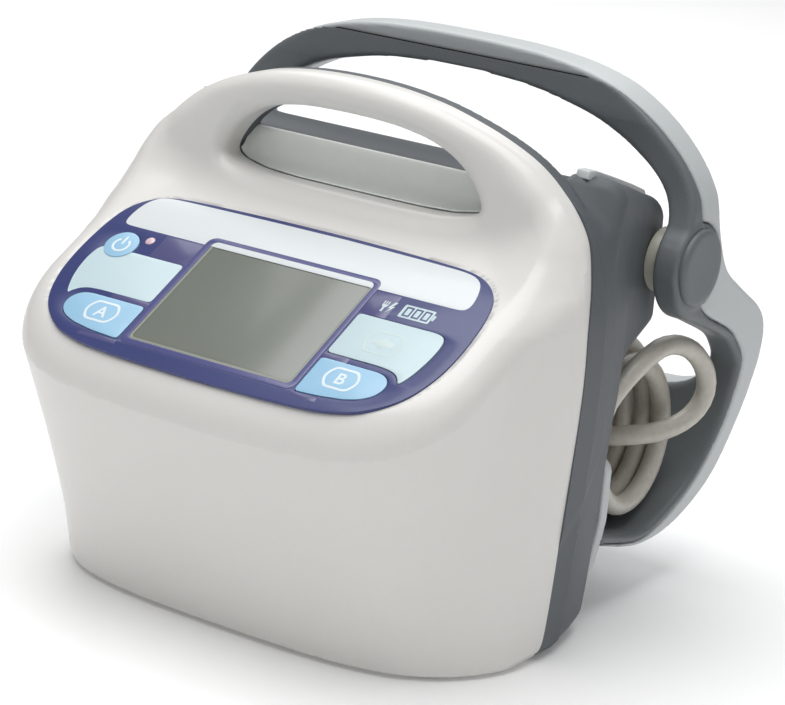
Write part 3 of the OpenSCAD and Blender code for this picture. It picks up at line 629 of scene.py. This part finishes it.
bmesh.ops.bevel(pins_bm, geom=pins_bm.edges[:], offset=0.0004, segments=2, affect="EDGES")
me = bpy.data.meshes.new("plug_contacts")
pins_bm.to_mesh(me)
pins_bm.free()
me.materials.append(M["pins"])
pins = bpy.data.objects.new("plug_contacts", me)
bpy.context.scene.collection.objects.link(pins)
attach(pins, "case")
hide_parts("plug_pins")

# ---------------------------------------------------------------- front housing
SEAM = both_sides([(0, 173.1), (14, 172.6), (24, 171.5), (33, 169.9), (40, 168), (47, 165.7), (53.5, 163.2), (60, 160.1),
                   (65.6, 156.9), (70.6, 153.2), (75.3, 149), (79.6, 144.9), (83.6, 140.3), (86.8, 136), (89, 131.4), (91.1, 125.5),
                   (92.8, 119.6), (94.4, 111.2), (95, 98), (94.8, 86), (94.2, 74), (93.3, 60), (92.3, 44), (91.4, 28), (90.4, 14),
                   (89.4, 6), (87.4, 2.2), (84, 0.3), (40, 0.3)])
SEAM_S = cr_line(SEAM, 4, True)
seam_f = Field(SEAM_S)
HOLE = both_sides([(0, 161.6), (14, 161.2), (24, 160), (33, 157.8), (40, 154.4), (45, 150.4), (48.6, 145.8),
                   (50.6, 141.6), (50, 138.8), (46, 136.9), (37, 135.3), (24, 134.7), (0, 134.6)])
HOLE_S = cr_line(HOLE, 4, True)
hole_f = Field(HOLE_S)
aw_z = np.array([1, 6, 14, 28, 44, 60, 74, 86, 98, 111.2, 119.6, 125.5, 131.4, 200.])
aw_x = np.array([88.6, 89.4, 90.4, 91.4, 92.3, 93.3, 94.2, 94.8, 95, 94.4, 92.8, 91.1, 89, 87])


def closed_plan(half):
    h = np.array(half, float)
    left = h[::-1].copy()
    left[:, 0] *= -1
    pts = np.vstack([[(95, 24)], h, left[1:], [(-95, 24)]])
    return pts


BASE = closed_plan([(95, 0), (95, -8), (93.2, -17), (89.8, -25), (84.6, -32.7), (77.4, -39.6), (68.2, -45.2),
                    (57.4, -48.6), (43.6, -51), (25.5, -52.3), (0, -52.6)])
BROW = closed_plan([(95, 0), (93.6, -6), (91.4, -13), (88.6, -21), (87, -30), (86.6, -37), (86.2, -45), (84.4, -53), (81, -60),
                    (75.4, -66.4), (68.2, -71), (59.4, -74.2), (49, -76), (36, -77.1), (18, -77.9), (0, -78.1)])
base_f = Field(base_p := cr_line(BASE, 3, True))
brow_f = Field(brow_p := cr_line(BROW, 3, True))


def front(x, y, z):
    n = (y + 45.45) * PN.y + (z - 104.28) * PN.z
    a = np.interp(z, aw_z, aw_x) / 95
    xs = x / a
    s = np.clip((z - 1) / np.maximum(91.7 + (y + 45.45) * 0.58, 20), 0, 1)
    s = s + 0.10 * s * (1 - s)
    Fb = base_f(xs, y) * (1 - s) + brow_f(xs, y) * s
    bowl = rmax(Fb, n, 10.0)
    so = seam_f(x, z)
    yj = y - bow(z)
    t = 9.4 + 3.0 * step(z, 128, 152)
    upright = rmax(so, -yj - t, 9.0)
    k = 1.0 + (5 + 11 * step(np.abs(x), 58, 82)) * step(92 - np.abs(x), 0, 14) * step(z, 100, 116)
    f = smin(bowl, upright, k)
    f = rmax(f, -hole_f(x, z), 5.0)
    f = np.maximum(f, so)
    f = rmax(f, 0.3 - z, 2.8)
    # seat of the label
    u, v = x, (y + 45.45) * PV.y + (z - 104.28) * PV.z
    pf = panel_f(u, v)
    f = rmax(f, -np.maximum(pf - 0.35, 0.02 - n), 1.1)
    return np.maximum(f, -np.maximum(pf + 1.6, -1.9 - n))


PANEL = both_sides([(0, 40.3), (16, 40.2), (32, 39.9), (46, 39.4), (56, 38.8), (62.5, 37.4), (67.4, 34.8),
                    (71, 31.2), (73.3, 26.7), (74.8, 20), (75.5, 12), (75.6, 5), (75.1, -2), (73.9, -8), (72, -13.6),
                    (69.6, -18), (66.4, -21.8), (62, -25.4), (57, -28.2), (50, -30.2), (42, -31.4), (26, -32.3), (0, -32.7)])
PANEL_S = cr_line(PANEL, 5, True)
panel_f = Field(PANEL_S)

H = 1.15
shell("front_shell", front, (-97, -82, -1), (97, 2.4, 176), H, -1, M["white"], "case", ("front_housing",))


# ---------------------------------------------------------------- rear housing
DECK = np.array([(14, 147.8), (18, 147.4), (40, 145.6), (60, 143.3), (90, 140.2)])
sw_y = np.array([0, 12, 22, 33, 40, 48, 55, 62, 68, 75.0])
sw_x = np.array([95, 93, 89.8, 86.6, 84.6, 82.8, 81.6, 80.7, 79.6, 75.0])
st_z = np.array([160, 156.6, 153.4, 150.2, 148.2, 145.8, 143.6, 141.4, 139.6, 137.6])
sb_z = np.array([40, 50, 66, 78.5, 83.5, 88.6, 91.2, 93.6, 95.2, 97.8])


def rear(x, y, z):
    so = seam_f(x, z)
    inset = 0.9 * step(y, 11.2, 12.6) + 5.6 * np.clip((y - 12) / 24, 0, 1.2) ** 1.35
    yj = y - bow(z)
    body = rmax(so + inset, y - 36, 5.0)
    body = rmax(body, z - 150 + 0.35 * y, 4.0)
    rim = rmax(so, yj - np.interp(z, [0, 112, 142, 176], [12.2, 12.2, 6.9, 6.4]), 2.2)
    w = np.interp(y, sw_y, sw_x)
    zt = np.interp(y, sw_y, st_z)
    zb = np.interp(y, sw_y, sb_z)
    ax = np.abs(x)
    r = 7.0
    sh = rmax(rmax(ax - w, z - zt, r), zb - z, 6.0)
    sh = rmax(sh, y - 75, 6.0)
    sh = rmax(sh, so + 0.9 - 14 * step(y, 15, 34), 4.0)
    f = smin(body, sh, 5.0)
    f = np.minimum(f, rim)
    zd = np.interp(y, DECK[:, 0], DECK[:, 1])
    cut = rmax(rmax(ax - 71, zd - z, 2.5), 6.5 - yj, 2.0)
    f = rmax(f, -cut, 1.8)
    f = rmax(f, -np.maximum(hole_f(x, z), y - 15.6 - 4 * step(z, 146.5, 149)), 2.6)
    f = rmax(f, 0.4 - z, 3.0)
    # seats: tubing ports
    for zp in (48, 74):
        rr = np.sqrt((y - 23) ** 2 + (z - zp) ** 2)
        f = np.maximum(f, -np.maximum(rr - 9.35, x + 91.0))
        f = np.maximum(f, -np.maximum(rr - 8.0, x + 74.0))
    return f


shell("rear_shell", rear, (-97, -12.4, -1), (97, 78, 176), H, 1, M["dark"], "case", ("rear_housing",))

# ---------------------------------------------------------------- hook
RING_OUT = both_sides([(0, 181.6), (18, 181.3), (34, 180.1), (48, 177.9), (60, 174.4), (69, 169.9), (76.6, 164.8),
                       (83.2, 159), (88.8, 152.6), (92.8, 146.2), (95, 140), (95.6, 130), (95.6, 105), (95, 85), (93, 70),
                       (89.5, 50), (85.5, 30), (83, 20), (79, 17), (40, 17)])
RING_IN = both_sides([(0, 170.4), (16, 170.1), (30, 168.9), (42, 166.6), (54, 163.4), (64, 159), (71.5, 154.4),
                      (78, 149.4), (82.6, 144.2), (85.6, 138), (86.8, 130), (86.8, 110), (85.4, 98), (83.8, 86), (82, 78),
                      (78, 71.6), (71, 67.6), (60, 66), (30, 65.4), (0, 65.2)])
H_OUT = [(59.8, 182.8), (68, 183), (73.6, 182.4), (75.8, 178), (76.4, 168), (76.8, 158), (77.2, 148),
         (77.8, 141), (78.8, 134), (81.4, 127), (85.4, 119.4), (90, 114.6), (96, 110.7), (104.4, 105.6),
         (112.4, 100.9), (117.8, 96.2), (120.6, 91), (121.5, 85), (121.4, 77.5), (120.5, 70), (119.4, 63),
         (117.6, 56), (115.4, 48.6), (112.8, 41.4), (108.6, 34.6), (102.2, 28.6), (93.4, 23.4), (82, 19.8),
         (70, 19.4), (60, 21.3), (50, 24), (38.5, 27.4)]
H_MID = [(38.5, 28.8), (50, 26), (60, 23.6), (68, 22.6), (75.4, 23.9), (84.8, 28.2), (93.4, 34.4),
         (99.2, 41.2), (103.4, 49), (106.9, 58.4), (108.3, 67.6), (108.6, 76.4), (107.2, 81.8), (103.6, 86.4),
         (96.4, 92.6), (87.7, 96.9), (79, 100.6), (72.6, 104.6), (68.6, 110), (66.6, 119.4), (66, 130),
         (65.4, 143), (63, 162), (60.4, 178)]
H_IN = [(57.4, 178.6), (57.6, 171), (58.8, 160), (59.4, 150), (58.8, 142), (56.4, 134), (53, 128),
        (51.2, 121), (51.8, 114), (55, 107.6), (61, 103.2), (69, 100.4), (77, 97.2), (86, 93.6), (94.4, 89.5),
        (101.4, 83.6), (104.4, 79.6), (105.3, 75.6), (105, 68), (103.7, 59.4), (100.4, 50.4), (96.4, 43.2),
        (91, 37), (82.8, 31.4), (74.2, 27.2), (68, 26), (60.4, 27), (50.4, 29.4), (38.5, 32.4)]
ring_out_f = Field(cr_line(RING_OUT, 4, True))
ring_in_f = Field(cr_line(RING_IN, 4, True))
FRAME_P = np.vstack([cr_line(H_OUT, 4), cr_line(H_MID, 4)])
LINER_P = np.vstack([cr_line(H_MID, 4)[::-1], cr_line(H_IN, 4)])
ALL_P = np.vstack([cr_line(H_OUT, 4), cr_line(H_IN, 4)[::-1]])
frame_f = Field(FRAME_P)
liner_f = Field(LINER_P)
all_f = Field(np.vstack([cr_line(H_OUT, 4), cr_line(H_IN[::-1], 4)]))


def hook_solid(x, y, z):
    ring = rmax(ring_out_f(x, z), -ring_in_f(x, z), 2.4)
    return rmax(ring, all_f(y, z), 2.6)


def hub_dist(x, y, z, r, x0, x1):
    rr = np.sqrt((y - 65) ** 2 + (z - 120.5) ** 2) - r
    return rmax(rr, np.maximum(np.abs(x) - x1, x0 - np.abs(x)), 1.2)


def hook_grey(x, y, z):
    f = rmax(hook_solid(x, y, z), frame_f(y, z) + 0.15, 1.5)
    rr = np.sqrt((y - 65) ** 2 + (z - 120.5) ** 2) - 14.75
    return rmax(f, -np.maximum(rr, 80 - np.abs(x)), 0.8)


def hook_dark(x, y, z):
    f = rmax(hook_solid(x, y, z), liner_f(y, z) + 0.1, 1.2)
    f = smin(f, hub_dist(x, y, z, 14.5, 86.9, 95.6), 1.5)
    rr = np.sqrt((y - 65) ** 2 + (z - 120.5) ** 2)
    return np.maximum(f, 4.0 - rr)


P, Q, G = surface(hook_grey, (-97, 36, 16), (97, 123, 185), H)
mesh_object("hook_outer", P, Q, M["grey"], "hook", G, replaces=("hook_frame",))
P, Q, G = surface(hook_dark, (-97, 36, 16), (97, 111, 182), H)
mesh_object("hook_inner", P, Q, M["dark_in"], "hook", G, replaces=("hook_liner",))

for s, nm in ((-1, "pivot_cap_left"), (1, "pivot_cap_right")):
    lathe(nm + "_disc", [(-0.05, 11.6), (-0.05, 12.3), (0.15, 12.7), (0.6, 12.8), (1.3, 12.7), (1.8, 12.3), (2.05, 11.7), (2.2, 10.8),
                         (2.15, 9.0), (2.0, 5.0), (1.95, 0.4)], (s * 95.65, 65, 120.5), (s, 0, 0), M["dark_in"], "hook",
          120, replaces=(nm,))

# ---------------------------------------------------------------- liner of the hand hole
nx, nt_ = 96, 28
Pl, Fl = [], []


def low_edge(x):
    """Lower edge of the hand hole."""
    hx = np.array([0, 24, 37, 46, 50, 50.4, 50.6])
    hz = np.array([134.6, 134.7, 135.3, 136.9, 138.8, 140.4, 141.8])
    return float(np.interp(abs(x), hx, hz))


prof_t = [(0.0, 0.0), (0.10, 0.03), (0.25, 0.13), (0.45, 0.33), (0.65, 0.60), (0.82, 0.86), (0.93, 0.98), (1.0, 1.0)]
prof_c = cr_line(prof_t, 4)
for layer in (0, 1):
    for i in range(nx + 1):
        x = -50.2 + 100.4 * i / nx
        zl = low_edge(x) + 0.35
        for a, b in prof_c:
            y = float(bow(zl)) + 0.2 + (15.4 - float(bow(zl))) * a
            z = zl + (147.4 - zl) * b
            if layer:
                z -= 0.9 + 0.2 * a
                y += 0.5 * (1 - a)
            Pl.append((x, y, z))
k = len(prof_c)
off = (nx + 1) * k
for i in range(nx):
    for j in range(k - 1):
        a = i * k + j
        Fl.append((a, a + k, a + k + 1, a + 1))
        Fl.append((off + a, off + a + 1, off + a + k + 1, off + a + k))
for i in range(nx):
    a = i * k
    Fl.append((a, off + a, off + a + k, a + k))
    a = i * k + k - 1
    Fl.append((a, a + k, off + a + k, off + a))
for j in range(k - 1):
    Fl.append((j, j + 1, off + j + 1, off + j))
    a = nx * k + j
    Fl.append((a, off + a, off + a + 1, a + 1))
lin = mesh_object("hole_liner", Pl, Fl, M["liner"], "case", replaces=("grip_liner",))
face_out(lin.data)
lin.data.polygons.foreach_set("use_smooth", [True] * len(lin.data.polygons))
auto_smooth(lin, 50)


# ---------------------------------------------------------------- small pieces of the case
def prism_x(name, prof, x0, x1, mat, body, bevel, replaces=(), segs=3):
    """A profile in y, z drawn out along x, with rounded edges."""
    bm = bmesh.new()
    a = [bm.verts.new(m((x0, p[0], p[1]))) for p in prof]
    b = [bm.verts.new(m((x1, p[0], p[1]))) for p in prof]
    bm.faces.new(a)
    bm.faces.new(b[::-1])
    for i in range(len(prof)):
        j = (i + 1) % len(prof)
        bm.faces.new((a[j], a[i], b[i], b[j]))
    bmesh.ops.recalc_face_normals(bm, faces=bm.faces)
    ed = [e for e in bm.edges if e.calc_face_angle(0) > math.radians(30)]
    bmesh.ops.bevel(bm, geom=ed, offset=bevel / 1000, segments=segs, affect="EDGES", profile=0.5)
    me = bpy.data.meshes.new(name)
    bm.to_mesh(me)
    bm.free()
    me.materials.append(mat)
    me.polygons.foreach_set("use_smooth", [True] * len(me.polygons))
    ob = bpy.data.objects.new(name, me)
    bpy.context.scene.collection.objects.link(ob)
    auto_smooth(ob, 40)
    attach(ob, body)
    if replaces:
        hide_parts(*replaces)
    return ob


strip = [(20.8, 152), (38, 147.2), (50, 143.6), (59.6, 140.6), (59.6, 141.6), (58.4, 143.5), (50, 146.6), (38, 150.5), (26, 154.2), (22, 154.6)]
for s, nm in ((-1, "left"), (1, "right")):
    x0, x1 = sorted((s * 72.2, s * 77.0))
    prism_x("shoulder_strip_" + nm, strip, x0, x1, M["grey"], "case", 0.5, replaces=("shoulder_trim",) if s == 1 else ())

# cushion plate on the rear face
def pad(x, y, z):
    w = 83 + 3.2 * step(z, 16, 40)
    d = rmax(rmax(np.abs(x) - w, z - 58.6, 5), 16.6 - z, 5)
    return rmax(d, np.maximum(y - 40.2, 35.6 - y), 0.9)


P, Q, G = surface(pad, (-88, 34, 15), (88, 41.6, 60), 0.9)
mesh_object("rear_cushion", P, Q, M["grey"], "case", G, replaces=("rear_pad",))


def cover(x, y, z):
    d = rmax(rmax(np.abs(x) - (68 - np.clip(y - 75, 0, 9) * 0.9), z - (137.2 - np.clip(y - 75, 0, 9) * 0.7), 6), 99 - z, 6)
    return rmax(d, np.maximum(y - 82, 74.9 - y), 3.0)


P, Q, G = surface(cover, (-70, 73, 97), (70, 84, 139), 1.0)
mesh_object("shoulder_back", P, Q, M["grey"], "case", G, replaces=("shoulder_cover",))

for s, nm in ((-1, "left"), (1, "right")):
    lathe("bushing_" + nm, [(0, 4.4), (0, 10.2), (0.5, 10.8), (3.9, 10.8), (4.5, 10.4), (4.6, 9.8), (4.6, 4.4)], (s * 81.4, 65, 120.5), (s, 0, 0),
          M["ivory"], "case", 80, replaces=("pivot_bushings",) if s == 1 else ())

# ---------------------------------------------------------------- label, display and keys
FR = rrect(-34.4, -26.5, 34.0, 26.0, 3.2)
KEY_L = [(-34.7, 10.5), (-56.2, 10.5), (-68.2, 10.2), (-69.6, 8), (-70.1, 4), (-69.8, -1), (-68.7, -6), (-66.9, -10.6),
         (-65.4, -13.2), (-64.4, -11.4), (-62.4, -9.6), (-59.6, -8.6), (-55, -8.2), (-34.7, -8.1)]
KEY_M = [(34.8, 10.4), (63.6, 10.4), (66.6, 9.6), (67.9, 7.4), (68.2, 3.6), (67.8, -1.5), (66.8, -7), (65.6, -10.8), (64.3, -13.2),
         (63.2, -11.2), (61.2, -9.4), (58.4, -8.5), (54, -8.1), (34.8, -8.0)]
KEY_A = [(-34.8, -10.6), (-56.4, -10.6), (-59.6, -11.2), (-61.8, -12.9), (-63.0, -15.4), (-62.8, -18), (-61.4, -20.4), (-58.6, -22.4),
         (-54, -24), (-46, -25.3), (-34.8, -26.0)]
KEY_B = [(34.8, -10.6), (55.4, -10.6), (58.4, -11.2), (60.6, -12.8), (61.6, -15.2), (61.2, -18), (59.6, -20.6), (56.6, -22.7),
         (52, -24.3), (44, -25.5), (34.8, -26.1)]


def corner_smooth(poly, r=0.8):
    """Outline with its corners cut round by two passes of corner cutting."""
    P_ = [np.array(p, float) for p in poly]
    for _ in range(2):
        out = []
        for i in range(len(P_)):
            a, b = P_[i], P_[(i + 1) % len(P_)]
            ln = np.linalg.norm(b - a)
            t = min(0.25, r / max(ln, 1e-6))
            out += [a + (b - a) * t, b - (b - a) * t]
        P_ = out
    return [tuple(p) for p in P_]


def grown(poly, d):
    """Outline moved outwards by d."""
    P_ = np.array(poly, float)
    area = 0.5 * sum(P_[i][0] * P_[(i + 1) % len(P_)][1] - P_[(i + 1) % len(P_)][0] * P_[i][1] for i in range(len(P_)))
    sgn = 1 if area > 0 else -1
    out = []
    for i in range(len(P_)):
        a, b, c = P_[i - 1], P_[i], P_[(i + 1) % len(P_)]
        e1, e2 = (b - a) / max(np.linalg.norm(b - a), 1e-9), (c - b) / max(np.linalg.norm(c - b), 1e-9)
        n1, n2 = np.array([e1[1], -e1[0]]) * sgn, np.array([e2[1], -e2[0]]) * sgn
        nv = n1 + n2
        nv /= max(np.linalg.norm(nv), 1e-6)
        out.append(tuple(b + nv * d / max(float(nv @ n1), 0.5)))
    return out


A_S, B_S, M_S, L_S = (corner_smooth(k_) for k_ in (KEY_A, KEY_B, KEY_M, KEY_L))
PW = arc((-62.2, 12.5), 6.3, 0, 355, 71)
PW_IN = arc((-62.2, 12.5), 6.05, 0, 355, 71)
label = plate("label_film", [PANEL_S.tolist(), FR, grown(A_S, 0.25), grown(B_S, 0.25), grown(M_S, 0.25), PW], -0.95, 0.22,
              M["blue"], "case", 0.10, replaces=("panel_overlay",))
T = 0.24
# white band, with its ends rounded
BAND = [(-34.6, 21.8), (-67.0, 21.8), (-68.6, 23.0), (-68.9, 26.5), (-68.2, 31), (-66.6, 34.6), (-63.6, 37.0), (-59, 37.9), (-50, 38.2),
        (-20, 38.7), (10, 38.9), (40, 38.4), (56, 37.9), (61, 37.0), (64.2, 34.8), (66.0, 31), (67.0, 26.5), (66.8, 23.4), (65.2, 21.9), (34.2, 21.8)]
plate("label_band", [corner_smooth(BAND, 1.6)], T - 0.2, T, M["band"], "case", 0.02)
plate("label_field", [[p for p in L_S]], T - 0.2, T, M["pale"], "case", 0.02)
plate("tint_left", [[(-49.5, 10.9), (-34.2, 10.9), (-34.2, 21.2), (-49.5, 21.2)]], T - 0.2, T + 0.01, M["tint"], "case", 0.02,
      replaces=("status_window_left",))
plate("tint_right", [[(34.2, 10.9), (43.8, 10.9), (43.8, 21.2), (34.2, 21.2)]], T - 0.2, T + 0.01, M["tint"], "case", 0.02,
      replaces=("status_window_right",))
for i, (x0, x1, y0, y1) in enumerate(((-49.5, -34.2, -10.9, -8.3), (34.2, 43.8, -10.9, -8.3), (-49.5, -34.2, -28.2, -26.6), (34.2, 43.8, -28.2, -26.6))):
    plate("tint_bar_%d" % i, [[(x0, y0), (x1, y0), (x1, y1), (x0, y1)]], T - 0.2, T - 0.005, M["tint"], "case", 0.01)
# the battery mark, and the mains and charge marks
plate("battery_mark", [corner_smooth(rrect(46.9, 13.1, 58.2, 18.8, 0.5), 0.2), rrect(47.9, 13.8, 50.7, 18.1, 0.2), rrect(51.3, 13.8, 54.1, 18.1, 0.2),
                       rrect(54.7, 13.8, 57.4, 18.1, 0.2)], T - 0.1, T + 0.03, M["pale"], "case", 0.01)
for i in range(3):
    plate("battery_cell_%d" % i, [rrect(48.55 + 3.4 * i, 14.5, 50.05 + 3.4 * i, 17.4, 0.15)], T - 0.1, T + 0.03, M["pale"], "case", 0.01)
plate("battery_tip", [rrect(58.3, 14.8, 59.2, 17.1, 0.2)], T - 0.1, T + 0.03, M["pale"], "case", 0.01)
plate("mains_mark", [[(40.1, 13.4), (40.9, 13.4), (40.9, 15.3), (41.5, 16.0), (41.5, 18.2), (41.1, 18.2), (41.1, 16.6), (40.7, 16.6), (40.7, 18.2), (40.3, 18.2),
                      (40.3, 16.6), (39.9, 16.6), (39.9, 18.2), (39.5, 18.2), (39.5, 16.0), (40.1, 15.3)]], T - 0.1, T + 0.03, M["mark_soft"], "case", 0.01)
plate("charge_mark", [[(43.1, 18.4), (42.0, 15.5), (42.9, 15.6), (42.1, 13.2), (44.1, 16.4), (43.2, 16.3), (44.2, 18.4)]], T - 0.1, T + 0.03, M["mark_soft"], "case", 0.01)

# display
FR_IN = rrect(-31.9, -24.2, 31.9, 24.2, 2.2)
plate("display_border", [FR, FR_IN], -2.2, 0.30, M["border"], "case", 0.12, replaces=("display_frame",))
plate("display_rim", [rrect(-31.95, -24.25, 31.95, 24.25, 2.2), rrect(-31.0, -23.2, 31.0, 23.2, 1.4)], -2.0, 0.12, M["olive"], "case", 0.10)
plate("display_glass", [rrect(-31.3, -23.5, 31.3, 23.5, 1.6)], -1.6, -0.05, M["lcd"], "case", 0.08, replaces=("display_window",))
# painted shade: a darker strip along the top of the display glass, where the frame's top edge shades it
plate("display_shade_top", [[(-31.0, 22.2), (31.0, 22.2), (31.0, 23.3), (-31.0, 23.3)]], -0.12, -0.03, M["lcd_ghost"], "case", 0.01)
for i, (x0, x1) in enumerate(((-23, -16.5), (21.4, 28.6))):
    plate("display_tab_%d" % i, [[(x0, 22.9), (x1, 22.9), (x1 - 1.4, 24.1), (x0 + 1.4, 24.1)]], -0.1, 0.13, M["lcd_ghost"], "case", 0.01)

# keys: a filmed plate each, and its printed mark
key_top = 0.45
plate("key_power_top", [PW_IN], -0.3, 0.55, M["key"], "key_power", 0.16, replaces=("key_power",))
plate("key_a_top", [A_S], -0.3, key_top, M["key"], "key_a", 0.14, replaces=("key_a",))
plate("key_b_top", [B_S], -0.3, key_top, M["key"], "key_b", 0.14, replaces=("key_b",))
plate("key_mode_top", [M_S], -0.3, key_top, M["pale"], "key_mode", 0.14, replaces=("key_mode",))


def hex_ring(c, w, h, t):
    def loop(a, b, e):
        return cr_line([(c[0] - a, c[1]), (c[0] - a + e * 0.35, c[1] + b * 0.62), (c[0] - a + e, c[1] + b * 0.98), (c[0], c[1] + b),
                        (c[0] + a - e, c[1] + b * 0.98), (c[0] + a - e * 0.35, c[1] + b * 0.62), (c[0] + a, c[1]),
                        (c[0] + a - e * 0.35, c[1] - b * 0.62), (c[0] + a - e, c[1] - b * 0.98), (c[0], c[1] - b),
                        (c[0] - a + e, c[1] - b * 0.98), (c[0] - a + e * 0.35, c[1] - b * 0.62)], 5, True).tolist()
    return [loop(w, h, 2.6), loop(w - t, h - t, 2.2)]


def letter(name, text, c, size, n, mat, body):
    cu_ = bpy.data.curves.new(name, "FONT")
    cu_.body = text
    cu_.size = size
    cu_.align_x = "CENTER"
    cu_.align_y = "CENTER"
    cu_.offset = 0.11
    cu_.extrude = 0.04
    tmp = bpy.data.objects.new(name, cu_)
    bpy.context.scene.collection.objects.link(tmp)
    bpy.context.view_layer.update()
    me_ = bpy.data.meshes.new_from_object(tmp.evaluated_get(bpy.context.evaluated_depsgraph_get()))
    bpy.data.objects.remove(tmp)
    xs = [v_.co.x for v_ in me_.vertices]
    ys = [v_.co.y for v_ in me_.vertices]
    cx, cy = (min(xs) + max(xs)) / 2, (min(ys) + max(ys)) / 2
    for v_ in me_.vertices:
        v_.co = m(on_panel(c[0] + v_.co.x - cx, c[1] + v_.co.y - cy, n + v_.co.z))
    me_.materials.clear()
    me_.materials.append(mat)
    ob = bpy.data.objects.new(name, me_)
    bpy.context.scene.collection.objects.link(ob)
    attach(ob, body)
    return ob


plate("mark_a_ring", hex_ring((-47.6, -17.1), 6.4, 4.5, 0.85), key_top - 0.1, key_top + 0.03, M["mark"], "key_a", 0.01)
letter("mark_a", "A", (-47.6, -17.1), 6.6, key_top + 0.0, M["mark"], "key_a")
plate("mark_b_ring", hex_ring((46.4, -17.1), 6.2, 4.5, 0.85), key_top - 0.1, key_top + 0.03, M["mark"], "key_b", 0.01)
letter("mark_b", "B", (46.4, -17.1), 6.4, key_top + 0.0, M["mark"], "key_b")
plate("mark_mode_ring", hex_ring((50, 0.8), 6.6, 4.9, 0.7), key_top - 0.1, key_top + 0.03, M["mark_soft"], "key_mode", 0.01)
plate("mark_mode", [[(46.2, -0.4), (48.2, -0.4), (50, -2.0), (51.8, -0.4), (53.8, -0.4), (53.8, 2.0), (51.8, 2.0), (50, 3.6), (48.2, 2.0), (46.2, 2.0)]],
      key_top - 0.1, key_top + 0.03, M["mark_soft"], "key_mode", 0.01)
ring = arc((-62.2, 12.3), 3.3, 125, 415, 40) + arc((-62.2, 12.3), 2.45, 415, 125, 40)
plate("mark_power_arc", [ring], 0.45, 0.58, M["mark"], "key_power", 0.01)
plate("mark_power_bar", [rrect(-62.6, 12.6, -61.8, 16.5, 0.3)], 0.45, 0.58, M["mark"], "key_power", 0.01)
lathe("lamp_lens", [(-0.8, 1.75), (0.15, 1.75), (0.42, 1.5), (0.55, 0.9), (0.6, 0.2)], tuple(on_panel(-53.8, 17.3, 0)), tuple(PN), M["led"], "case", 40,
      replaces=("power_led",))

# ---------------------------------------------------------------- carried-over CAD nodes
KEPT = {"tubing_port_a": "port", "tubing_port_b": "port", "feet": "rubber", "housing_screws": "steel", "pivot_pins": "steel",
        "torsion_springs": "steel", "main_board": "board", "key_domes": "silicone", "buzzer": "black", "air_pump": "pump",
        "pump_mounts": "rubber", "valve_manifold": "ivory", "solenoid_valves": "black", "air_hoses": "silicone", "battery_pack": "battery",
        "battery_door": "dark", "power_supply": "metal_box", "lcd_module": "lcd"}
for n_, k_ in KEPT.items():
    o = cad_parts[n_]
    o.data.materials.clear()
    o.data.materials.append(M[k_])

# ---------------------------------------------------------------- floor and light
bpy.ops.mesh.primitive_plane_add(size=14, location=(0, 0, -0.0002))
floor = bpy.context.active_object
floor.name = "floor"
fm, nt, b = principled("floor")
tc = nt.nodes.new("ShaderNodeTexCoord")
nz = nt.nodes.new("ShaderNodeTexNoise")
nz.inputs["Scale"].default_value = 3
rp = nt.nodes.new("ShaderNodeValToRGB")
rp.color_ramp.elements[0].color = (0.90, 0.90, 0.90, 1)
rp.color_ramp.elements[1].color = (0.93, 0.93, 0.93, 1)
nt.links.new(tc.outputs["Object"], nz.inputs["Vector"])
nt.links.new(nz.outputs["Fac"], rp.inputs["Fac"])
nt.links.new(rp.outputs["Color"], b.inputs["Base Color"])
b.inputs["Roughness"].default_value = 0.9
b.inputs["Specular IOR Level"].default_value = 0.1
b.inputs["Emission Color"].default_value = (1, 1, 1, 1)
b.inputs["Emission Strength"].default_value = 0.09
floor.data.materials.append(fm)

world = bpy.data.worlds.new("studio")
bpy.context.scene.world = world
world.use_nodes = True
world.node_tree.nodes["Background"].inputs["Color"].default_value = (0.97, 0.98, 1.0, 1)
world.node_tree.nodes["Background"].inputs["Strength"].default_value = 0.20
bpy.context.scene.view_settings.view_transform = "Standard"


def area(name, at, to, size, size_y, watts, color=(1, 1, 1)):
    ld = bpy.data.lights.new(name, "AREA")
    ld.shape = "RECTANGLE"
    ld.size, ld.size_y = size, size_y
    ld.energy = watts
    ld.color = color
    lo_ = bpy.data.objects.new(name, ld)
    bpy.context.scene.collection.objects.link(lo_)
    lo_.location = at
    d = Vector(to) - Vector(at)
    lo_.rotation_euler = d.to_track_quat("-Z", "Y").to_euler()
    return lo_


area("top_soft", (0.0, -0.18, 1.5), (0, 0, 0.1), 1.4, 1.2, 20)
area("right_soft", (1.1, -0.3, 1.1), (0, 0, 0.1), 0.9, 0.9, 1.7)
area("left_soft", (-1.0, -0.9, 1.1), (0, 0, 0.1), 0.9, 0.9, 0.4)
area("floor_soft", (-0.62, 0.98, 1.1), (-0.66, 1.02, 0), 1.3, 1.3, 9.5)
